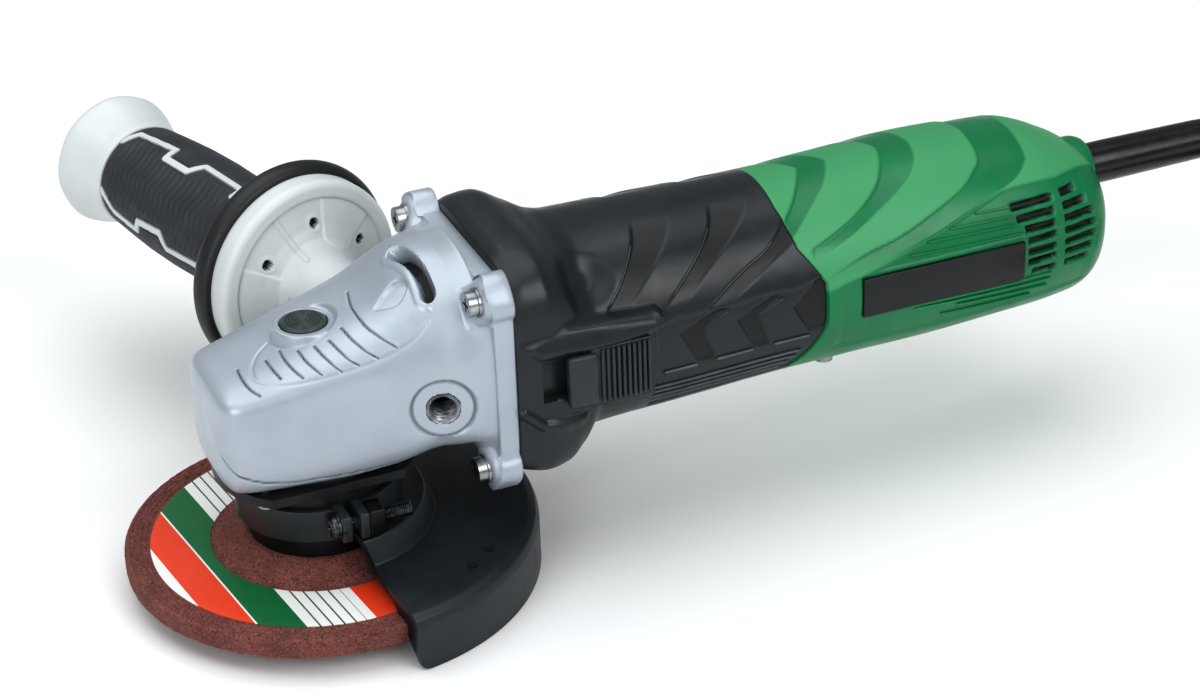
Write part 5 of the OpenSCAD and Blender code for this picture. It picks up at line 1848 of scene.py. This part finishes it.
@dataclass
class WheelGuard:
    """The pressed steel guard with its clamping band, screw and nut."""

    reach: tuple[float, float] = (-84.0, 84.0)
    columns: int = 420
    neck_r: float = 24.1
    band_t: float = 2.2
    band_gap_deg: float = 6.0
    band_z: tuple[float, float] = (7.5, 18.5)
    clamp: tuple[float, float] = (-30.5, 15.5)
    corner_r: float = 4.5

    def build(self) -> None:
        """Build and dress the guard's pieces."""
        outline = eased(
            [
                (25.8, 9.5), (25.8, 7.5), (32, 7.5), (35, -0.7), (63.5, -0.7), (66.6, -1.6), (67.5, -3.6),
                (67.5, -17.4), (67.5, -18), (69.5, -18), (69.5, -17.4), (69.5, -2.4), (68.6, 0.3), (66.2, 1.3),
                (61, 1.3), (36.5, 1.3), (33.5, 9.5),
            ],
            0.6, True,
        )
        columns = self.columns
        rows = Maker.turned(refined_loop(outline, 1.2), columns, UPRIGHT, self.reach)
        rings = np.transpose(rows, (1, 0, 2))
        step = math.radians((self.reach[1] - self.reach[0]) / (columns - 1)) * 69.5
        from_end = np.minimum(np.arange(columns), np.arange(columns)[::-1]) * step
        r = self.corner_r
        low = -18 + r - np.sqrt(np.maximum(r**2 - np.maximum(r - from_end, 0) ** 2, 0))
        rings[..., 2] = np.maximum(rings[..., 2], low[:, None])
        sheet = Maker.skin("guard_sheet", rings, sharp=30)
        r, (low, high) = self.neck_r, self.band_z
        band = eased([(r, low), (r + self.band_t, low), (r + self.band_t, high), (r, high)], 0.4, True)
        gap = self.band_gap_deg
        strap = np.transpose(Maker.turned(band, 200, UPRIGHT, (-90 + gap, 270 - gap)), (1, 0, 2))
        parts = [sheet, Maker.skin("guard_band", strap, sharp=30)]
        y, z = self.clamp
        for x0, x1 in ((-3.4, 0.2), (2.8, 6.0)):
            parts.append(Maker.block("ear", (x0, y - 4, z - 4.5), (x1, -r - 0.2, z + 4.3), 0.7))
        piece = Maker.joined("guard_pressing", parts)
        finished(piece, GUARD_PAINT, ["wheel_guard"], Body.GUARD)
        self.clamp_screw()

    def clamp_screw(self) -> None:
        """Build the clamp's cross-recessed screw, spring washer and square nut."""
        y, z = self.clamp
        place = Matrix.Translation((0, y, z)) @ Matrix.Rotation(math.radians(90), 4, "Y")
        head = eased([(0.01, -6.4), (2.6, -6.3), (3.6, -5.6), (3.9, -4.6), (3.9, -4.1), (2.4, -4.0)], 0.5)
        rings = Maker.turned(refined(head, 0.35), 72, place)
        x, yy, zz = rings[..., 0], rings[..., 1] - y, rings[..., 2] - z
        for a, b in ((yy, zz), (zz, yy)):
            cross = np.minimum(0.5 - np.abs(a), 2.2 - np.abs(b))
            rings[..., 0] += 1.1 * smooth(cross, 0.35) * (x < -5)
        shank = thread(2.1, 0.38, 0.8, -4.1, 20.4, place)
        washers = []
        for low in (-4.2, -2.9):
            ring = eased([(2.6, low), (4.3, low), (4.3, low + 0.9), (2.6, low + 0.9)], 0.3, True)
            washers.append(Maker.skin("washer", Maker.turned(ring, 48, place), ends=Ends.LOOPED))
        parts = [Maker.skin("head", rings), Maker.skin("shank", shank), *washers]
        piece = Maker.joined("guard_screw", parts)
        finished(piece, CLAMP_STEEL, ["guard_clamp_screw"], Body.GUARD)
        nut = Maker.block("guard_square_nut", (6, y - 4, z - 4.4), (11, y + 4, z + 4.4), 0.6)
        finished(nut, BLACK_STEEL, ["guard_clamp_nut"], Body.GUARD)


@dataclass
class GrindingWheel:
    """The depressed-centre wheel and its paper label."""

    outer_r: float = 62.5
    bore_r: float = 11.1
    seat_z: float = -4.7
    thickness: float = 6.0
    ridge_r: tuple[float, ...] = (56.0, 57.7, 59.4, 61.1)
    grit_rise: float = 0.05

    def build(self) -> None:
        """Build and dress the wheel and its label."""
        r, z, t = self.outer_r, self.seat_z, self.thickness
        outline = [
            (self.bore_r, 0), (24, 0), (33.5, z), (55, z), (r - 0.5, z), (r, z - 0.6), (r, z - t), (35, z - t),
            (25.5, -t), (self.bore_r, -t),
        ]
        profile = refined_loop(eased(outline, 0.7, True), 0.45)
        rise = np.zeros(len(profile))
        for ridge in self.ridge_r:
            rise += 0.55 * smooth(0.4 - np.abs(profile[:, 0] - ridge), 0.6) * (profile[:, 1] > z - 0.5)
        profile[:, 1] += rise
        edge = (profile[:, 0] > r - 0.1) & (profile[:, 1] < z - 0.8)
        profile[:, 0] -= 0.18 * edge * (0.5 + 0.5 * np.sin(profile[:, 1] * 2 * math.pi / 1.5))
        rings = Maker.turned(profile, 360, UPRIGHT)
        rings = rings + np.random.default_rng(7).normal(0, self.grit_rise, rings.shape)
        piece = Maker.skin("grinding_wheel_disc", rings, ends=Ends.LOOPED, sharp=60)
        finished(piece, ABRASIVE, ["grinding_wheel"], Body.SPINDLE)
        ring = eased([(35.3, z - 0.05), (35.3, z + 0.28), (54.3, z + 0.28), (54.3, z - 0.05)], 0.08, True)
        rings = Maker.turned(refined_loop(ring, 2.5), 240, UPRIGHT)
        turn = np.arctan2(rings[..., 1], rings[..., 0])
        rings[..., 2] += 0.03 * np.sin(9 * turn) * (rings[..., 2] > z)
        label = Maker.skin("wheel_paper_label", rings, ends=Ends.LOOPED)
        finished(label, LABEL_PAPER, ["wheel_label"], Body.SPINDLE)


# ---- Studio ----


@dataclass
class Studio:
    """Camera, floor and soft lights."""

    lens: float = 96.0
    heading: float = 22.035
    tilt: float = 29.695
    roll: float = -2.067
    stand: tuple[float, float, float] = (-0.23797, -0.82966, 0.54718)

    def camera(self) -> None:
        """Set the camera at the front left, looking down on the grinder."""
        data = bpy.data.cameras.new("studio_camera")
        data.lens, data.sensor_width = self.lens, 36.0
        data.clip_start, data.clip_end = 0.01, 20.0
        a, e, r = (math.radians(v) for v in (self.heading, self.tilt, self.roll))
        back = Vector((-math.sin(a) * math.cos(e), -math.cos(a) * math.cos(e), math.sin(e)))
        right = Vector((0, 0, 1)).cross(back).normalized()
        up = back.cross(right)
        x = right * math.cos(r) + up * math.sin(r)
        y = up * math.cos(r) - right * math.sin(r)
        turn = Matrix((x, y, back)).transposed().to_4x4()
        camera = linked("studio_camera", data)
        camera.matrix_world = Matrix.Translation(self.stand) @ turn
        bpy.context.scene.camera = camera

    def floor(self) -> None:
        """Lay a pale floor under the lowest point of the grinder."""
        half = 3000.0
        z = FLOOR_Z - 0.05
        points = np.array([(-half, -half, z), (half, -half, z), (half, half, z), (-half, half, z)])
        floor = Maker.mesh("studio_floor", points, [[0, 1, 2, 3]])
        paper = Finish("floor_paper", "#f4f5f5", "#f1f2f3", 0.8, patch_mm=400, grain_mm=3, grain_depth_mm=0.02)
        floor.data.materials.append(paper.material())

    def light(
        self, name: str, at: Sequence[float], size: float, power: float, aim: Sequence[float] = (0.1, 0, 0.05)
    ) -> None:
        """Hang one square soft box, in metres, turned to a point of the grinder.

        Args:
            name: the lamp's name.
            at: where it hangs.
            size: the length of a side.
            power: its power, in watts.
            aim: the point it faces.
        """
        data = bpy.data.lights.new(name, "AREA")
        data.shape, data.size, data.energy = "SQUARE", size, power
        lamp = linked(name, data)
        lamp.location = at
        lamp.rotation_euler = (Vector(aim) - Vector(at)).to_track_quat("-Z", "Y").to_euler()

    def build(self) -> None:
        """Set up the whole studio."""
        self.camera()
        self.floor()
        self.light("top_box", (-0.2, 0.4, 2.1), 2.6, 36)
        self.light("band_box", (0.85, -1.8, 1.55), 1.5, 26)
        self.light("front_box", (-1.6, -1.3, 1.1), 1.4, 18)
        world = bpy.data.worlds.new("studio_world")
        world.use_nodes = True
        world.node_tree.nodes["Background"].inputs[0].default_value = (0.95, 0.98, 1, 1)
        world.node_tree.nodes["Background"].inputs[1].default_value = 0.34
        bpy.context.scene.world = world
        view = bpy.context.scene.view_settings
        view.view_transform, view.exposure, view.gamma = "Standard", 0.1, 0.82


def dress_frame() -> None:
    """Give each shown node of the frame its own material."""
    for finish, names in CAD_FINISHES.items():
        for name in names:
            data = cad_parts[name].data
            data.materials.clear()
            data.materials.append(finish.material())
            data.polygons.foreach_set("use_smooth", [True] * len(data.polygons))
            data.set_sharp_from_angle(angle=math.radians(30))
            LOG.info("%s in %s", name, finish.name)


def main() -> None:
    """Build every sub-assembly in order."""
    logging.basicConfig(level=logging.INFO)
    Studio().build()
    MainsLead().build()
    dress_frame()
    for assembly in (GearHead, MotorShell, SlideKnob, TailShell, SideHandle, WheelGuard, GrindingWheel):
        LOG.info("building %s", assembly.__name__)
        assembly().build()


if __name__ == "__main__":
    main()
